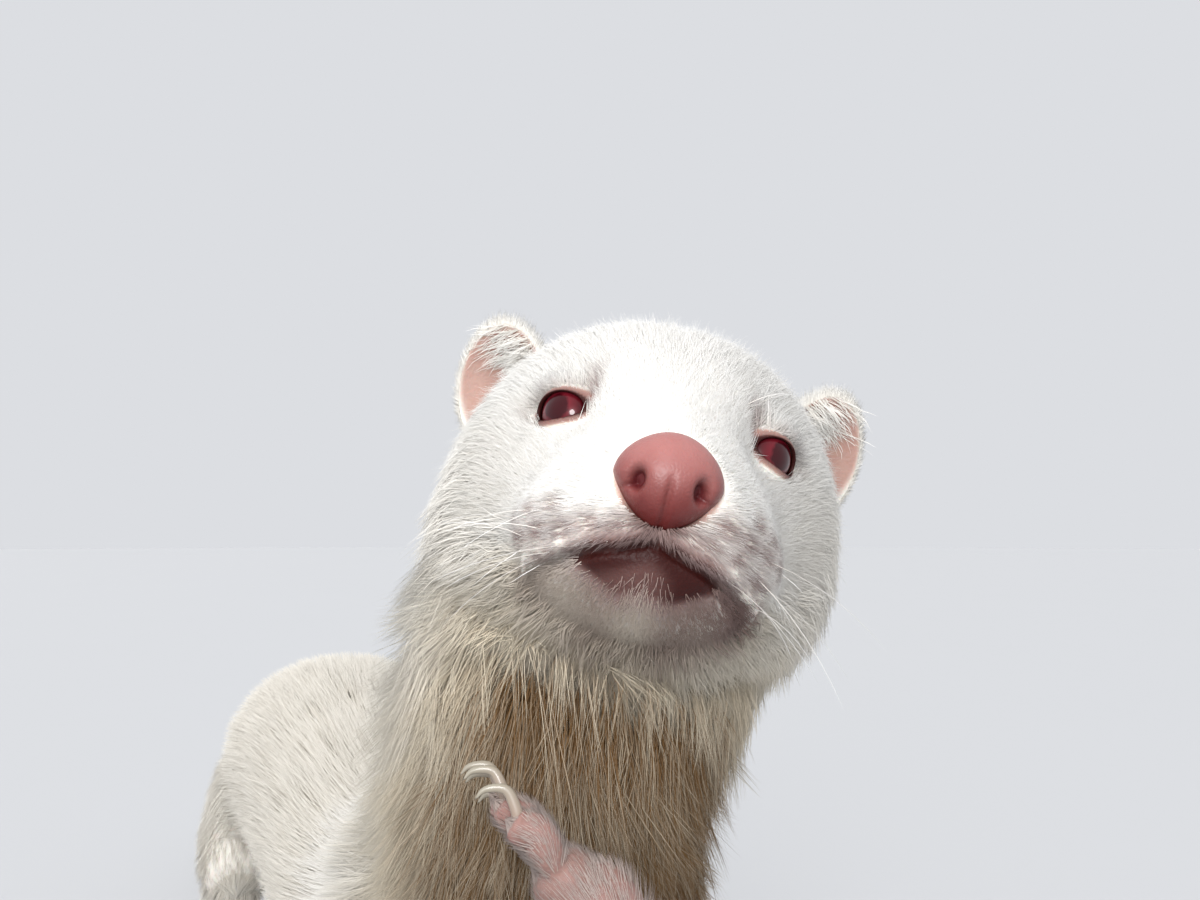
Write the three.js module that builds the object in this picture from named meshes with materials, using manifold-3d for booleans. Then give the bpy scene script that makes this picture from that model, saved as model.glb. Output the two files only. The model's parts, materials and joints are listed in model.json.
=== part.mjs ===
// A life-size albino ferret that stands on three feet, with its neck and head raised,
// its head turned to its own right and tipped, and its right forepaw lifted beside the throat.
// Millimetres, +Z up. The animal faces -Y, its left side is +X and the floor is Z = 0.
import * as THREE from "three";
import { mergeVertices } from "three/addons/utils/BufferGeometryUtils.js";
import Module from "manifold-3d";

const wasm = await Module();
wasm.setup();

// Driving dimensions of the animal
const GAP = 0.3; // between nodes that meet
const NOSE_AT = [-13, 0, 150]; // middle of the nose pad's front
const HEAD_TURN = 28; // degrees that the head is turned to the animal's right
const HEAD_ROLL = 12.5; // degrees that the crown leans to the animal's left
const EYE_RADIUS = 4.3;
const EYE_AT = [12.9, 25.8, 7.3]; // in the head's frame: left, back, up from the nose
const EYE_OUT = 37; // degrees that an eye looks out from straight ahead
const LID = 0.8; // thickness of the eyelids
const EAR_AT = [27, 52, 13];
const NOSE_PAD = [6.3, 5.2, 5.3]; // half width, half depth and half height
const TAIL_LENGTH = 125;
const CORE_UNDER = 2.6; // how far the trunk's solid core lies under the smooth form of its coat
const TAIL_CORE_UNDER = 3.5;
const SOLE = 0; // height of the flats that the feet stand on
const SINK = 0.9; // how much of a rounded sole is flattened by the floor

// The head's frame: x to the animal's left, y back from the nose, z up
const headTurn = new THREE.Euler(
  0,
  THREE.MathUtils.degToRad(HEAD_ROLL),
  THREE.MathUtils.degToRad(-HEAD_TURN),
  "ZXY",
);
const HEAD = new THREE.Matrix4()
  .makeRotationFromEuler(headTurn)
  .setPosition(...NOSE_AT);
const headPoint = (x, y, z) => new THREE.Vector3(x, y, z).applyMatrix4(HEAD).toArray();
const headLeft = new THREE.Vector3().setFromMatrixColumn(HEAD, 0).toArray();

// Rows of numbers joined by one smooth curve; t runs from 0 at the first row to 1 at the last
function spline(rows, t) {
  const last = rows.length - 1;
  const place = Math.min(t, 1) * last;
  const i = Math.min(Math.floor(place), last - 1);
  const f = place - i;
  return rows[i].map((b, k) => {
    const c = rows[i + 1][k];
    const a = i > 0 ? rows[i - 1][k] : 2 * b - c;
    const d = i < last - 1 ? rows[i + 2][k] : 2 * c - b;
    return b + 0.5 * f * (c - a + f * (2 * a - 5 * b + 4 * c - d + f * (3 * (b - c) + d - a)));
  });
}

// A closed mesh as a solid, whichever way its faces ran
function solid(geometry) {
  const bare = new THREE.BufferGeometry()
    .setAttribute("position", geometry.getAttribute("position"))
    .setIndex(geometry.index);
  const merged = mergeVertices(bare, 1e-3);
  const make = (triVerts) =>
    new wasm.Manifold(
      new wasm.Mesh({
        numProp: 3,
        vertProperties: merged.attributes.position.array,
        triVerts,
      }),
    );
  const made = make(new Uint32Array(merged.index.array));
  if (made.volume() > 0) return made;
  return make(new Uint32Array(merged.index.array).reverse());
}

// A ball whose points are moved: place(s, angle) takes s from pole to pole as 0 to 1
function shapedBall(sides, rings, place) {
  const ball = new THREE.SphereGeometry(1, sides, rings);
  const at = ball.getAttribute("position");
  const unit = new THREE.Vector3();
  for (let i = 0; i < at.count; i++) {
    unit.fromBufferAttribute(at, i);
    const s = Math.acos(THREE.MathUtils.clamp(unit.y, -1, 1)) / Math.PI;
    const pole = s < 1e-6 || s > 1 - 1e-6;
    const angle = pole ? 0 : Math.atan2(unit.z, unit.x);
    at.setXYZ(i, ...place(pole ? Math.round(s) : s, angle));
  }
  return solid(ball);
}

// 0 at both ends, rising to 1 as a round end does over the share cap of the length
function roundEnds(s, capStart, capEnd = capStart) {
  const share = Math.min(s / capStart, (1 - s) / capEnd, 1);
  return Math.sqrt(Math.max(0, 1 - (1 - share) ** 2));
}

const squared = (c, power) => Math.sign(c) * Math.abs(c) ** (2 / power);

// A point on a limb or trunk that follows a curve, s along it and angle round it. Each row is
// x, y, z, half width, half depth on the upper side, half depth on the lower side; sideways
// gives the width's direction at s, and grow moves the surface out.
function loftPoint(rows, s, angle, form) {
  const { cap = 0.1, capEnd = cap, grow = 0, power = 2.2, sideways = () => [1, 0, 0] } = form;
  const step = 1e-3;
  const [x, y, z, wide, up, down] = spline(rows, s);
  const from = spline(rows, Math.max(0, s - step));
  const to = spline(rows, Math.min(1, s + step));
  const along = new THREE.Vector3(to[0] - from[0], to[1] - from[1], to[2] - from[2]).normalize();
  const side = new THREE.Vector3(...sideways(s));
  side.addScaledVector(along, -side.dot(along)).normalize();
  const top = new THREE.Vector3().crossVectors(side, along);
  const full = roundEnds(s, cap, capEnd);
  const high = Math.sin(angle) > 0 ? up : down;
  const c = squared(Math.cos(angle), power) * (wide + grow) * full;
  const h = squared(Math.sin(angle), power) * (high + grow) * full;
  const end = grow * (s < 0.5 ? -1 : 1) * (1 - full);
  return new THREE.Vector3(x, y, z)
    .addScaledVector(side, c)
    .addScaledVector(top, h)
    .addScaledVector(along, end);
}
const loft = (rows, { sides, rings, ...form }) =>
  shapedBall(sides, rings, (s, angle) => loftPoint(rows, s, angle, form));

const union = (pieces) => pieces.reduce((a, b) => a.add(b));

function largest(made) {
  return made.decompose().sort((a, b) => b.volume() - a.volume())[0];
}

// The two sides of a thin plane cut at a point, each half a gap back from it
function part(made, at, normal) {
  const n = new THREE.Vector3(...normal).normalize();
  const offset = n.dot(new THREE.Vector3(...at));
  return [
    made.trimByPlane(n.toArray(), offset + GAP / 2),
    made.trimByPlane(n.clone().negate().toArray(), -offset + GAP / 2),
  ];
}

// A flat lock of the coat that tapers to its tip: its root is sunk in the surface, and it lies
// back along the surface and lifts towards its tip. surface(s, angle, height) gives points.
const LOCK_TAPER = [0.6, 1, 0.75, 0.1];
function lock(surface, s, angle, { reach, sunk, lift, wide, thick, swirl }) {
  const rows = LOCK_TAPER.map((taper, k) => {
    const t = k / (LOCK_TAPER.length - 1);
    const height = THREE.MathUtils.lerp(-sunk, lift, Math.sqrt(t));
    const at = surface(s + reach * t, angle + swirl * t * t, height).toArray();
    return [...at, wide * taper, thick * taper, thick * taper];
  });
  const across = surface(s + reach / 2, angle + 0.1, 0).sub(surface(s + reach / 2, angle - 0.1, 0));
  return loft(rows, { sides: 4, rings: 4, power: 2, sideways: () => across.toArray() });
}

// Locks spread evenly over a stretch of a surface in a spiral, each a little different
const GOLDEN_ANGLE = Math.PI * (3 - Math.sqrt(5));
THREE.MathUtils.seededRandom(7);
const vary = (share) => 1 + share * (2 * THREE.MathUtils.seededRandom() - 1);
function locks(surface, { count, from, to, grows = () => true, ...size }) {
  const made = [];
  for (let i = 0; i < count; i++) {
    const s = THREE.MathUtils.lerp(from, to, (i + 0.5) / count);
    const angle = THREE.MathUtils.euclideanModulo(i * GOLDEN_ANGLE, 2 * Math.PI) - Math.PI;
    const varied = { ...size, reach: size.reach * vary(0.2), wide: size.wide * vary(0.2) };
    varied.swirl = size.swirl * (vary(1) - 1);
    if (grows(s, angle)) made.push(lock(surface, s, angle, varied));
  }
  return union(made);
}

// Skull, muzzle and jaw. Each row is the distance back from the nose, half width, top, bottom,
// height of the widest line, and how square the section is above and below that line.
const HEAD_ROWS = [
  [2.6, 6.0, 3.0, -9.5, -4.0, 2.0, 2.0],
  [6, 9.6, 5.6, -13.8, -5.5, 1.8, 2.1],
  [12, 14.2, 9.4, -17.8, -6.5, 1.7, 2.2],
  [18.5, 17.3, 13.6, -20.6, -7.0, 1.75, 2.2],
  [25, 20.4, 18.6, -22.8, -6.5, 1.9, 2.2],
  [32, 24.6, 23.2, -25.2, -6.0, 2.1, 2.2],
  [41, 29.2, 26.8, -28.0, -6.5, 2.2, 2.2],
  [51, 32.6, 27.4, -31.0, -8.0, 2.1, 2.2],
  [61, 33.5, 25.0, -32.0, -9.5, 2.0, 2.2],
  [70, 29.5, 20.0, -28.0, -8.0, 2.0, 2.0],
  [77, 20.0, 13.0, -18.0, -5.0, 2.0, 2.0],
];
// Soft swellings and hollows: back, angle above the widest line in degrees, their spreads, height
const HEAD_FORMS = [
  [12, -8, 6, 24, 1.5], // whisker pad
  [25, 70, 6, 15, 0.9], // brow
  [19, 44, 4.5, 12, -1.3], // hollow before the eye
  [41, 2, 9, 26, 1.2], // cheek bone
  [19, 18, 5, 14, -0.7], // hollow behind the whisker pad
  [10, -90, 5, 26, 0.9], // chin
];

function headSurface(s, angle, grow = 0) {
  const [back, wide, top, bottom, middle, squareUp, squareDown] = spline(HEAD_ROWS, s);
  const upper = Math.sin(angle) > 0;
  const power = upper ? squareUp : squareDown;
  const high = upper ? top - middle : middle - bottom;
  const degrees = THREE.MathUtils.radToDeg(Math.atan2(Math.sin(angle), Math.abs(Math.cos(angle))));
  const lift = HEAD_FORMS.reduce((sum, [y0, a0, spanY, spanA, height]) => {
    const far = ((back - y0) / spanY) ** 2 + ((degrees - a0) / spanA) ** 2;
    return sum + height * Math.exp(-far);
  }, grow);
  const full = roundEnds(s, 0.1, 0.16);
  return [
    squared(Math.cos(angle), power) * (wide + lift) * full,
    back + (s < 0.5 ? -grow : grow) * (1 - full),
    middle + squared(Math.sin(angle), power) * (high + lift) * full,
  ];
}
const headAt = (s, angle, height) =>
  new THREE.Vector3(...headSurface(s, angle, height)).applyMatrix4(HEAD);
const CHEEK_LOCKS = {
  count: 28, from: 0.58, to: 0.86, reach: 0.19, sunk: 4, lift: 2.4, wide: 6.2, thick: 1.3, swirl: 0.2,
};
// Where the head has longer fur: round its back, and clear of the ears
function cheekFur(s, angle) {
  const degrees = THREE.MathUtils.radToDeg(Math.atan2(Math.sin(angle), Math.abs(Math.cos(angle))));
  return degrees < 14 || degrees > 62;
}
const headShape = (sides, rings, grow = 0) =>
  shapedBall(sides, rings, (s, angle) => headSurface(s, angle, grow));

// A ball stretched to half sizes, turned by degrees and moved
function blob(half, at, turn = [0, 0, 0], sides = 14, rings = 10) {
  return solid(new THREE.SphereGeometry(1, sides, rings))
    .scale(half)
    .rotate(turn)
    .translate(at);
}

const bothSides = (make) => [1, -1].map(make);

// What is made facing -Y round the origin, carried to an eye and turned as the eye looks
const EYE_SLANT = 14; // degrees that the outer corner of the eye is lower than the inner one
const toEye = (made, side) =>
  made
    .rotate([0, side * EYE_SLANT, 0])
    .rotate([-6, 0, 0])
    .rotate([0, 0, side * EYE_OUT])
    .translate([side * EYE_AT[0], EYE_AT[1], EYE_AT[2]]);

function eyeBall(side, grow = 0) {
  const r = EYE_RADIUS + grow;
  return toEye(blob([r, r, r], [0, 0, 0], [0, 0, 0], 12, 9), side);
}

// The flesh over the eyeball, and the almond-shaped opening in it, flatter below
function lidBall(side) {
  const r = EYE_RADIUS + GAP + LID;
  return toEye(blob([r + 0.5, r, r], [0, 0, 0], [0, 0, 0], 12, 9), side);
}
function lidOpening(side) {
  const [wide, deep, above, below] = [4.5, 4, 2.8, 1.9];
  const opening = shapedBall(12, 6, (s, angle) => {
    const out = Math.sin(s * Math.PI);
    const high = Math.sin(angle) > 0 ? above : below;
    return [wide * out * Math.cos(angle), -deep * Math.cos(s * Math.PI), high * out * Math.sin(angle)];
  });
  return toEye(opening.translate([0, -EYE_RADIUS - LID, -0.2]), side);
}

function nosePad(grow = 0) {
  const [wide, deep, high] = NOSE_PAD.map((v) => v + grow);
  const pad = shapedBall(14, 9, (s, angle) => {
    const polar = s * Math.PI;
    const x = Math.sin(polar) * Math.cos(angle);
    const y = Math.cos(polar);
    const z = Math.sin(polar) * Math.sin(angle);
    const taper = z < 0 ? 1 + 0.28 * z : 1 - 0.12 * z * z;
    return [x * wide * taper, -y * deep, z * high];
  });
  return pad.translate([0, NOSE_PAD[1] - 0.2, -0.6]);
}

function nostrils() {
  return union(
    bothSides((side) =>
      union([
        blob([1.25, 3, 1.45], [side * 3.8, 0.9, -0.9], [0, 0, side * 20], 8, 6),
        blob([1.9, 2.6, 0.55], [side * 5.2, 1.9, -1.6], [0, side * 18, side * 30], 6, 5),
      ]),
    ),
  );
}

// The slit between the lips: it slopes down towards the corners and is cleft under the nose
const MOUTH = { front: 2.4, corner: 22, high: -8.2, slope: 0.43, halfGap: 0.4, deep: 2.4 };
function mouthSlit() {
  const plate = new THREE.BoxGeometry(44, MOUTH.corner, 2 * MOUTH.halfGap, 12, 4, 1);
  const at = plate.getAttribute("position");
  for (let i = 0; i < at.count; i++) {
    const x = at.getX(i);
    const y = at.getY(i) + MOUTH.corner / 2;
    const cleft = 1.3 * Math.exp(-((x / 3) ** 2)) - 0.006 * x * x;
    at.setZ(i, at.getZ(i) + MOUTH.high - MOUTH.slope * (y - MOUTH.front) + cleft);
    at.setY(i, y);
  }
  return solid(plate).subtract(headShape(16, 14, -MOUTH.deep));
}

// A thin cup that opens forwards and outwards
function ear(side, grow = 0) {
  const [wide, high, wall] = [9.6, 11.4, 1.5].map((v) => v + grow);
  const deep = 4.6;
  const cup = shapedBall(16, 9, (s, angle) => {
    const polar = s * Math.PI;
    const out = Math.sin(polar);
    const inner = 1 - out * out;
    const face = Math.cos(polar) * wall;
    const droop = 1 - 0.12 * Math.sin(angle);
    return [out * wide * droop * Math.cos(angle), deep * inner - face, out * high * Math.sin(angle)];
  });
  return cup
    .rotate([8, 0, 0])
    .rotate([0, side * 14, 0])
    .rotate([0, 0, side * 30])
    .translate([side * EAR_AT[0], EAR_AT[1], EAR_AT[2]]);
}

// Neck and trunk. The first rows hang from the head's frame, so they follow its turn.
const TRUNK_ROWS = [
  [...headPoint(0, 60, 4), 22, 17, 20],
  [...headPoint(-1, 56, -12), 32.5, 26, 29],
  [...headPoint(-3, 53, -28), 32, 29, 31],
  [...headPoint(-4, 51, -45), 28.5, 29, 28.5],
  [1, 60, 85, 28.5, 29, 29],
  [0, 85, 71, 31, 29, 31],
  [0, 118, 67, 32.5, 30.5, 31.5],
  [0, 155, 71, 32, 31.5, 30.5],
  [0, 192, 75, 33, 32.5, 31.5],
  [0, 226, 71, 34, 32.5, 33],
  [0, 254, 62, 28, 27, 27],
  [0, 274, 57, 17, 16, 16],
];
const NECK_ROWS = 4; // rows over which the sections turn from the head's frame to the body's
function trunkSide(s) {
  const share = THREE.MathUtils.smoothstep((s * (TRUNK_ROWS.length - 1)) / NECK_ROWS, 0.2, 1);
  const left = new THREE.Vector3(...headLeft).lerp(new THREE.Vector3(1, 0, 0), share);
  return left.normalize().toArray();
}
const TRUNK_FORM = { cap: 0.05, sideways: trunkSide };
const trunkCore = (grow = 0) =>
  loft(TRUNK_ROWS, { sides: 18, rings: 22, ...TRUNK_FORM, grow: grow - CORE_UNDER });
const trunkAt = (s, angle, height) =>
  loftPoint(TRUNK_ROWS, s, angle, { ...TRUNK_FORM, grow: height });
const NECK_LOCKS = {
  count: 28, from: 0.08, to: 0.38, reach: 0.085, sunk: 6, lift: 2.4, wide: 8.5, thick: 1.5, swirl: 0.25,
};
const BODY_LOCKS = {
  count: 46, from: 0.39, to: 0.94, reach: 0.1, sunk: 5.5, lift: 1, wide: 11, thick: 1.2, swirl: 0.12,
};

const TAIL_ROWS = [
  [0, 258, 61, 13, 13, 13],
  [0, 284, 53, 12, 12, 12],
  [1, 312, 43, 12, 12, 12],
  [4, 340, 34, 11, 11, 11],
  [8, 366, 29, 8.5, 8.5, 8.5],
  [13, 258 + TAIL_LENGTH + 8, 27, 3.5, 3.5, 3.5],
];
const TAIL_FORM = { cap: 0.08, capEnd: 0.1 };
const tailCore = (grow = 0) =>
  loft(TAIL_ROWS, { sides: 9, rings: 12, ...TAIL_FORM, grow: grow - TAIL_CORE_UNDER });
const tailAt = (s, angle, height) => loftPoint(TAIL_ROWS, s, angle, { ...TAIL_FORM, grow: height });
const TAIL_LOCKS = {
  count: 20, from: 0.1, to: 0.86, reach: 0.24, sunk: 6, lift: 0.8, wide: 5.6, thick: 1.2, swirl: 0.3,
};

// A paw in its own frame: toes towards -Y, back of the paw up, wrist at the origin
function paw({ long, wide, high, toe, spread, splay, claw, hook }) {
  const palm = loft(
    [
      [0, 5, 4.2, wide * 0.36, high * 0.5, 4.2],
      [0, -long * 0.35, high * 0.5, wide * 0.42, high * 0.48, high * 0.5],
      [0, -long, high * 0.42, wide * 0.46, high * 0.42, high * 0.42],
    ],
    { sides: 10, rings: 6, cap: 0.22 },
  );
  const digits = [-2, -1, 0, 1, 2].map((n) => {
    const x = n * spread;
    const reach = toe * (1 - 0.1 * n * n);
    const fan = splay * n;
    const tip = [x + fan * reach, -long - reach, 2.5];
    const digit = loft(
      [
        [x * 0.9, -long + 3, high * 0.4, 2.1, 2.2, 2.2],
        [x + fan * reach * 0.4, -long - reach * 0.35, high * 0.46, 2.3, 2.4, 2.6],
        [...tip, 1.9, 1.9, 2.3],
      ],
      { sides: 6, rings: 4, cap: 0.3 },
    );
    const nail = loft(
      [
        [tip[0] - fan, tip[1] + 2, 3.6, 0.9, 1.1, 1.1],
        [tip[0] + fan * claw * 0.6, tip[1] - claw * 0.6, 4.2, 0.8, 0.95, 0.95],
        [tip[0] + fan * claw, tip[1] - claw, 4.2 - hook, 0.3, 0.3, 0.3],
      ],
      { sides: 4, rings: 4, cap: 0.12 },
    );
    return digit.add(nail);
  });
  return union([palm, ...digits]);
}
const FOREPAW = { long: 12, wide: 17, high: 9, toe: 8.5, spread: 3.5, splay: 0.16, claw: 6.5, hook: 3.4 };
const CLOSED_PAW = { ...FOREPAW, wide: 14.5, spread: 2.9, splay: 0.04, hook: 4.4 };
const HIND_FOOT = { long: 32, wide: 16, high: 10, toe: 9.5, spread: 3.4, splay: 0.16, claw: 5.5, hook: 3.2 };

const belowFloor = solid(new THREE.BoxGeometry(400, 800, 40)).translate([0, 150, SOLE - 20]);

// A leg is made of one or more lengths, joined where they bend sharply
const leg = (lengths, grow = 0) =>
  union(lengths.map((rows) => loft(rows, { sides: 12, rings: 9, cap: 0.14, grow })));

// The standing foreleg, on the animal's left
const STANDING_LEG = [
  [
    [19, 87, 70, 14, 20, 20],
    [22.5, 90, 53, 12.5, 15, 15],
    [21, 86, 37, 9.8, 11.2, 11.2],
    [18, 80, 21, 8, 9, 9],
    [17.2, 77.5, 11, 7.8, 8.6, 8.6],
    [17, 76, 2.5, 7.4, 8, 8],
  ],
];

function standingForeleg() {
  const hand = paw(FOREPAW).rotate([0, 0, 4]).translate([17, 77, -SINK]);
  return part(leg(STANDING_LEG).add(hand).subtract(belowFloor), ...FOREPAW_CUT);
}

// The lifted foreleg, on the animal's right: elbow low before the chest, forearm up the throat.
// The paw lies in a hollow of the throat's coat.
const WRIST = [-15.4, 9, 99.5];
const LIFTED_TOES = [-0.43, 0.46, 0.8]; // where the lifted paw's toes point
const LIFTED_PALM = [-0.82, 0.16, -0.5]; // where its palm faces
const LIFTED_LEG = [
  [
    [-20, 84, 72, 13, 19, 19],
    [-23, 70, 66, 12, 15, 15],
    [-21, 55, 60, 10.5, 12, 12],
    [-18, 39, 57, 8.5, 9, 9],
  ],
  [
    [-19, 51, 58, 8, 8.5, 8.5],
    [-17, 34, 61, 8.6, 9.2, 9.2],
    [-14.5, 22, 73, 8, 8.6, 8.6],
    [...WRIST, 5.8, 6.6, 6.6],
    [-18.9, 13, 106.5, 5, 5, 5],
  ],
];
function liftedForeleg() {
  const back = new THREE.Vector3(...LIFTED_TOES).normalize().negate();
  const up = new THREE.Vector3(...LIFTED_PALM).negate();
  up.addScaledVector(back, -up.dot(back)).normalize();
  const side = new THREE.Vector3().crossVectors(back, up);
  const turn = new THREE.Matrix4().makeBasis(side, back, up);
  turn.setPosition(new THREE.Vector3(...WRIST).addScaledVector(up, -CLOSED_PAW.high * 0.5));
  const beyond = solid(new THREE.BoxGeometry(30, 20, 30)).translate([0, GAP / 2 - 10, 5]);
  const inPlace = (made) => made.transform(turn.toArray());
  return {
    arm: leg(LIFTED_LEG).subtract(inPlace(beyond)),
    hand: inPlace(paw(CLOSED_PAW).trimByPlane([0, -1, 0], GAP / 2)),
    hollow: inPlace(blob([9.5, 19, 7.5], [0, -10, 4], [0, 0, 0], 12, 8)),
  };
}

const hindLengths = (side) =>
  [
    [
      [17, 238, 74, 15, 24, 24],
      [22, 231, 60, 14.5, 24, 22],
      [27, 221, 47, 12.5, 18, 17],
      [29, 211, 38, 9.5, 11, 11],
    ],
    [
      [28, 212, 50, 8.5, 9.5, 9.5],
      [28.8, 220, 39, 9.4, 11, 11],
      [28, 235, 26, 8, 9.4, 9.4],
      [27.4, 245, 15, 7.6, 8.8, 8.8],
      [27, 246, 7, 7.4, 8.4, 8.4],
      [27, 243, 1.5, 7, 7.6, 7.6],
    ],
  ].map((rows) => rows.map(([x, ...rest]) => [side * x, ...rest]));

function hindLeg(side) {
  const foot = paw(HIND_FOOT).rotate([0, 0, side * -3]).translate([side * 27, 247, -SINK]);
  return part(leg(hindLengths(side)).add(foot).subtract(belowFloor), ...ANKLE_CUT);
}

// Thin cuts that part the body where a person would name its parts: a point and a normal each
const SHOULDER_CUT = [[0, 68, 80], [0, 1, -0.75]];
const NECK_CUT = [headPoint(0, 52, -37), new THREE.Vector3(0, 0.32, 1).applyEuler(headTurn).toArray()];
const WAIST_CUT = [[0, 168, 75], [0, 1, 0]];
const TAIL_CUT = [[2, 320, 41], [0, 1, -0.35]];
const ANKLE_CUT = [[0, 244, 17.5], [0, 0.2, 1]];
const FOREPAW_CUT = [[18, 80, 15], [0, 0.1, 1]];

// Colours and finishes of the nodes
const COAT = new THREE.MeshStandardMaterial({ color: "#efe8d8", roughness: 0.9, metalness: 0 });
const PINK = new THREE.MeshStandardMaterial({ color: "#c98f8c", roughness: 0.5, metalness: 0 });
const RUBY = new THREE.MeshStandardMaterial({ color: "#4a0a14", roughness: 0.08, metalness: 0 });

const ferret = new THREE.Group();
function add(name, made, material) {
  const { vertProperties, triVerts } = largest(made).getMesh();
  const geometry = new THREE.BufferGeometry()
    .setAttribute("position", new THREE.BufferAttribute(vertProperties, 3))
    .setIndex(new THREE.BufferAttribute(triVerts, 1));
  const mesh = new THREE.Mesh(geometry, material);
  mesh.name = name;
  ferret.add(mesh);
}

function build() {
  const toWorld = (made) => made.transform(HEAD.toArray());
  const headGrown = toWorld(headShape(30, 22, GAP));
  const trunkGrown = trunkCore(GAP);
  const limbsGrown = union([
    leg(STANDING_LEG, 2 * GAP),
    leg(LIFTED_LEG, 2 * GAP),
    ...bothSides((side) => leg(hindLengths(side), 2 * GAP)),
    tailCore(TAIL_CORE_UNDER + TAIL_LOCKS.lift + 2 * GAP),
    ...bothSides((side) => toWorld(ear(side, 2 * GAP))),
  ]);
  const coat = union([
    locks(headAt, { ...CHEEK_LOCKS, grows: cheekFur }),
    locks(trunkAt, NECK_LOCKS),
    locks(trunkAt, BODY_LOCKS),
  ]);
  const whole = trunkCore().add(toWorld(headShape(30, 22))).add(coat.subtract(limbsGrown));

  const [torsoPart, headAndNeck] = part(whole, ...SHOULDER_CUT);
  const [headPart, neckPart] = part(headAndNeck, ...NECK_CUT);
  const [hindPart, forePart] = part(torsoPart, ...WAIST_CUT);

  const face = headPart
    .add(union(bothSides((side) => toWorld(lidBall(side)))))
    .subtract(union(bothSides((side) => toWorld(lidOpening(side)))))
    .subtract(union(bothSides((side) => toWorld(eyeBall(side, GAP)))))
    .subtract(toWorld(nosePad(GAP)))
    .subtract(toWorld(mouthSlit()));
  add("head", face, COAT);
  add("nose", toWorld(nosePad().subtract(nostrils())), PINK);
  for (const side of [1, -1]) {
    const name = side > 0 ? "left" : "right";
    add("eye_" + name, toWorld(eyeBall(side)), RUBY);
    add("ear_" + name, toWorld(ear(side)).subtract(headGrown), COAT);
  }
  const [leftLeg, leftPaw] = standingForeleg();
  const lifted = liftedForeleg();
  const legs = { foreleg_left: leftLeg, foreleg_right: lifted.arm };
  const paws = { forepaw_left: leftPaw, forepaw_right: lifted.hand };
  for (const side of [1, -1]) {
    const name = side > 0 ? "left" : "right";
    const [upper, foot] = hindLeg(side);
    legs["hind_leg_" + name] = upper;
    paws["hind_foot_" + name] = foot;
  }
  add("neck", neckPart.subtract(lifted.hollow), COAT);
  add("torso_front", forePart, COAT);
  add("torso_rear", hindPart, COAT);
  const tail = tailCore().add(locks(tailAt, TAIL_LOCKS)).subtract(trunkGrown);
  const [tailEnd, tailRoot] = part(tail, ...TAIL_CUT);
  add("tail_root", tailRoot, COAT);
  add("tail_end", tailEnd, COAT);
  for (const [name, made] of Object.entries(legs)) add(name, made.subtract(trunkGrown), COAT);
  for (const [name, made] of Object.entries(paws)) add(name, made, PINK);
}
build();

// The origin is the middle of the box that holds the animal, at floor level
const box = new THREE.Box3().setFromObject(ferret);
const middle = box.getCenter(new THREE.Vector3());
ferret.position.set(-middle.x, -middle.y, -box.min.z);

export default ferret;
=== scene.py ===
import json
import math

import bpy
import numpy as np
from mathutils import Matrix, Vector
from mathutils.bvhtree import BVHTree
from mathutils.kdtree import KDTree

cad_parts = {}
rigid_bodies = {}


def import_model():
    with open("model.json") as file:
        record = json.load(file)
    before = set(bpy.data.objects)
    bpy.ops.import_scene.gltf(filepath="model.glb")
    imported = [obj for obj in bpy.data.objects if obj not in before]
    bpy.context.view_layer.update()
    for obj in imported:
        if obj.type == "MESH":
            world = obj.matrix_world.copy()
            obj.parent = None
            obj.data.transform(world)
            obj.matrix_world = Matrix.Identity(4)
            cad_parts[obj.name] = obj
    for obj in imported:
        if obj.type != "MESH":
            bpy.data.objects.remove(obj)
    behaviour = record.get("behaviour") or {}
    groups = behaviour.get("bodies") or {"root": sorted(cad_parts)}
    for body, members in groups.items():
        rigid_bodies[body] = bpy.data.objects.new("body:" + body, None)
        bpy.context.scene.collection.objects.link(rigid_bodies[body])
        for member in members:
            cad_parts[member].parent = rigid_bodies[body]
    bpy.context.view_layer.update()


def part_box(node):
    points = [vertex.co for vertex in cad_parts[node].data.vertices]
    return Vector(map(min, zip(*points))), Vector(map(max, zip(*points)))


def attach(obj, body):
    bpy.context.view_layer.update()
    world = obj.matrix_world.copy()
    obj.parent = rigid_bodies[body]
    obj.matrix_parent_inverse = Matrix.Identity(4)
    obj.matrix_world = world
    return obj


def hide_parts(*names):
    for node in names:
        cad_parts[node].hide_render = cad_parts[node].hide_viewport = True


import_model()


# The skin of the head. It is thin, pale pink hide, drawn tight over the skull and lying under
# the coat by the coat's depth: half a millimetre on the muzzle, five at the back of the cheeks.
# It is one closed skin with that of the body. Lengths are in millimetres until metres() is used.
NOSE_AT = np.array((-13.0, 0, 150))
HEAD_TURN = -28
HEAD_ROLL = 12.5
EYE_AT = (12.9, 25.8, 7.3)
EYE_RADIUS = 4.3
EYE_OUT = 37
EYE_SLANT = 14
EYE_DOWN = -6
EAR_AT = (27, 52, 13)
EAR_TURN = (8, 14, 30)
# Each row: back from the nose, half width, top, bottom, middle, squareness above and below.
HEAD_ROWS = (
    (2.6, 6.0, 3.0, -9.5, -4.0, 2.0, 2.0),
    (6, 9.6, 5.6, -13.8, -5.5, 1.8, 2.1),
    (12, 14.2, 9.4, -17.8, -6.5, 1.7, 2.2),
    (18.5, 17.3, 13.6, -20.6, -7.0, 1.75, 2.2),
    (25, 20.4, 18.6, -22.8, -6.5, 1.9, 2.2),
    (32, 24.6, 23.2, -25.2, -6.0, 2.1, 2.2),
    (41, 29.2, 26.8, -28.0, -6.5, 2.2, 2.2),
    (51, 32.6, 27.4, -31.0, -8.0, 2.1, 2.2),
    (61, 33.5, 25.0, -32.0, -9.5, 2.0, 2.2),
    (70, 29.5, 20.0, -28.0, -8.0, 2.0, 2.0),
    (77, 20.0, 13.0, -18.0, -5.0, 2.0, 2.0),
)
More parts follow.
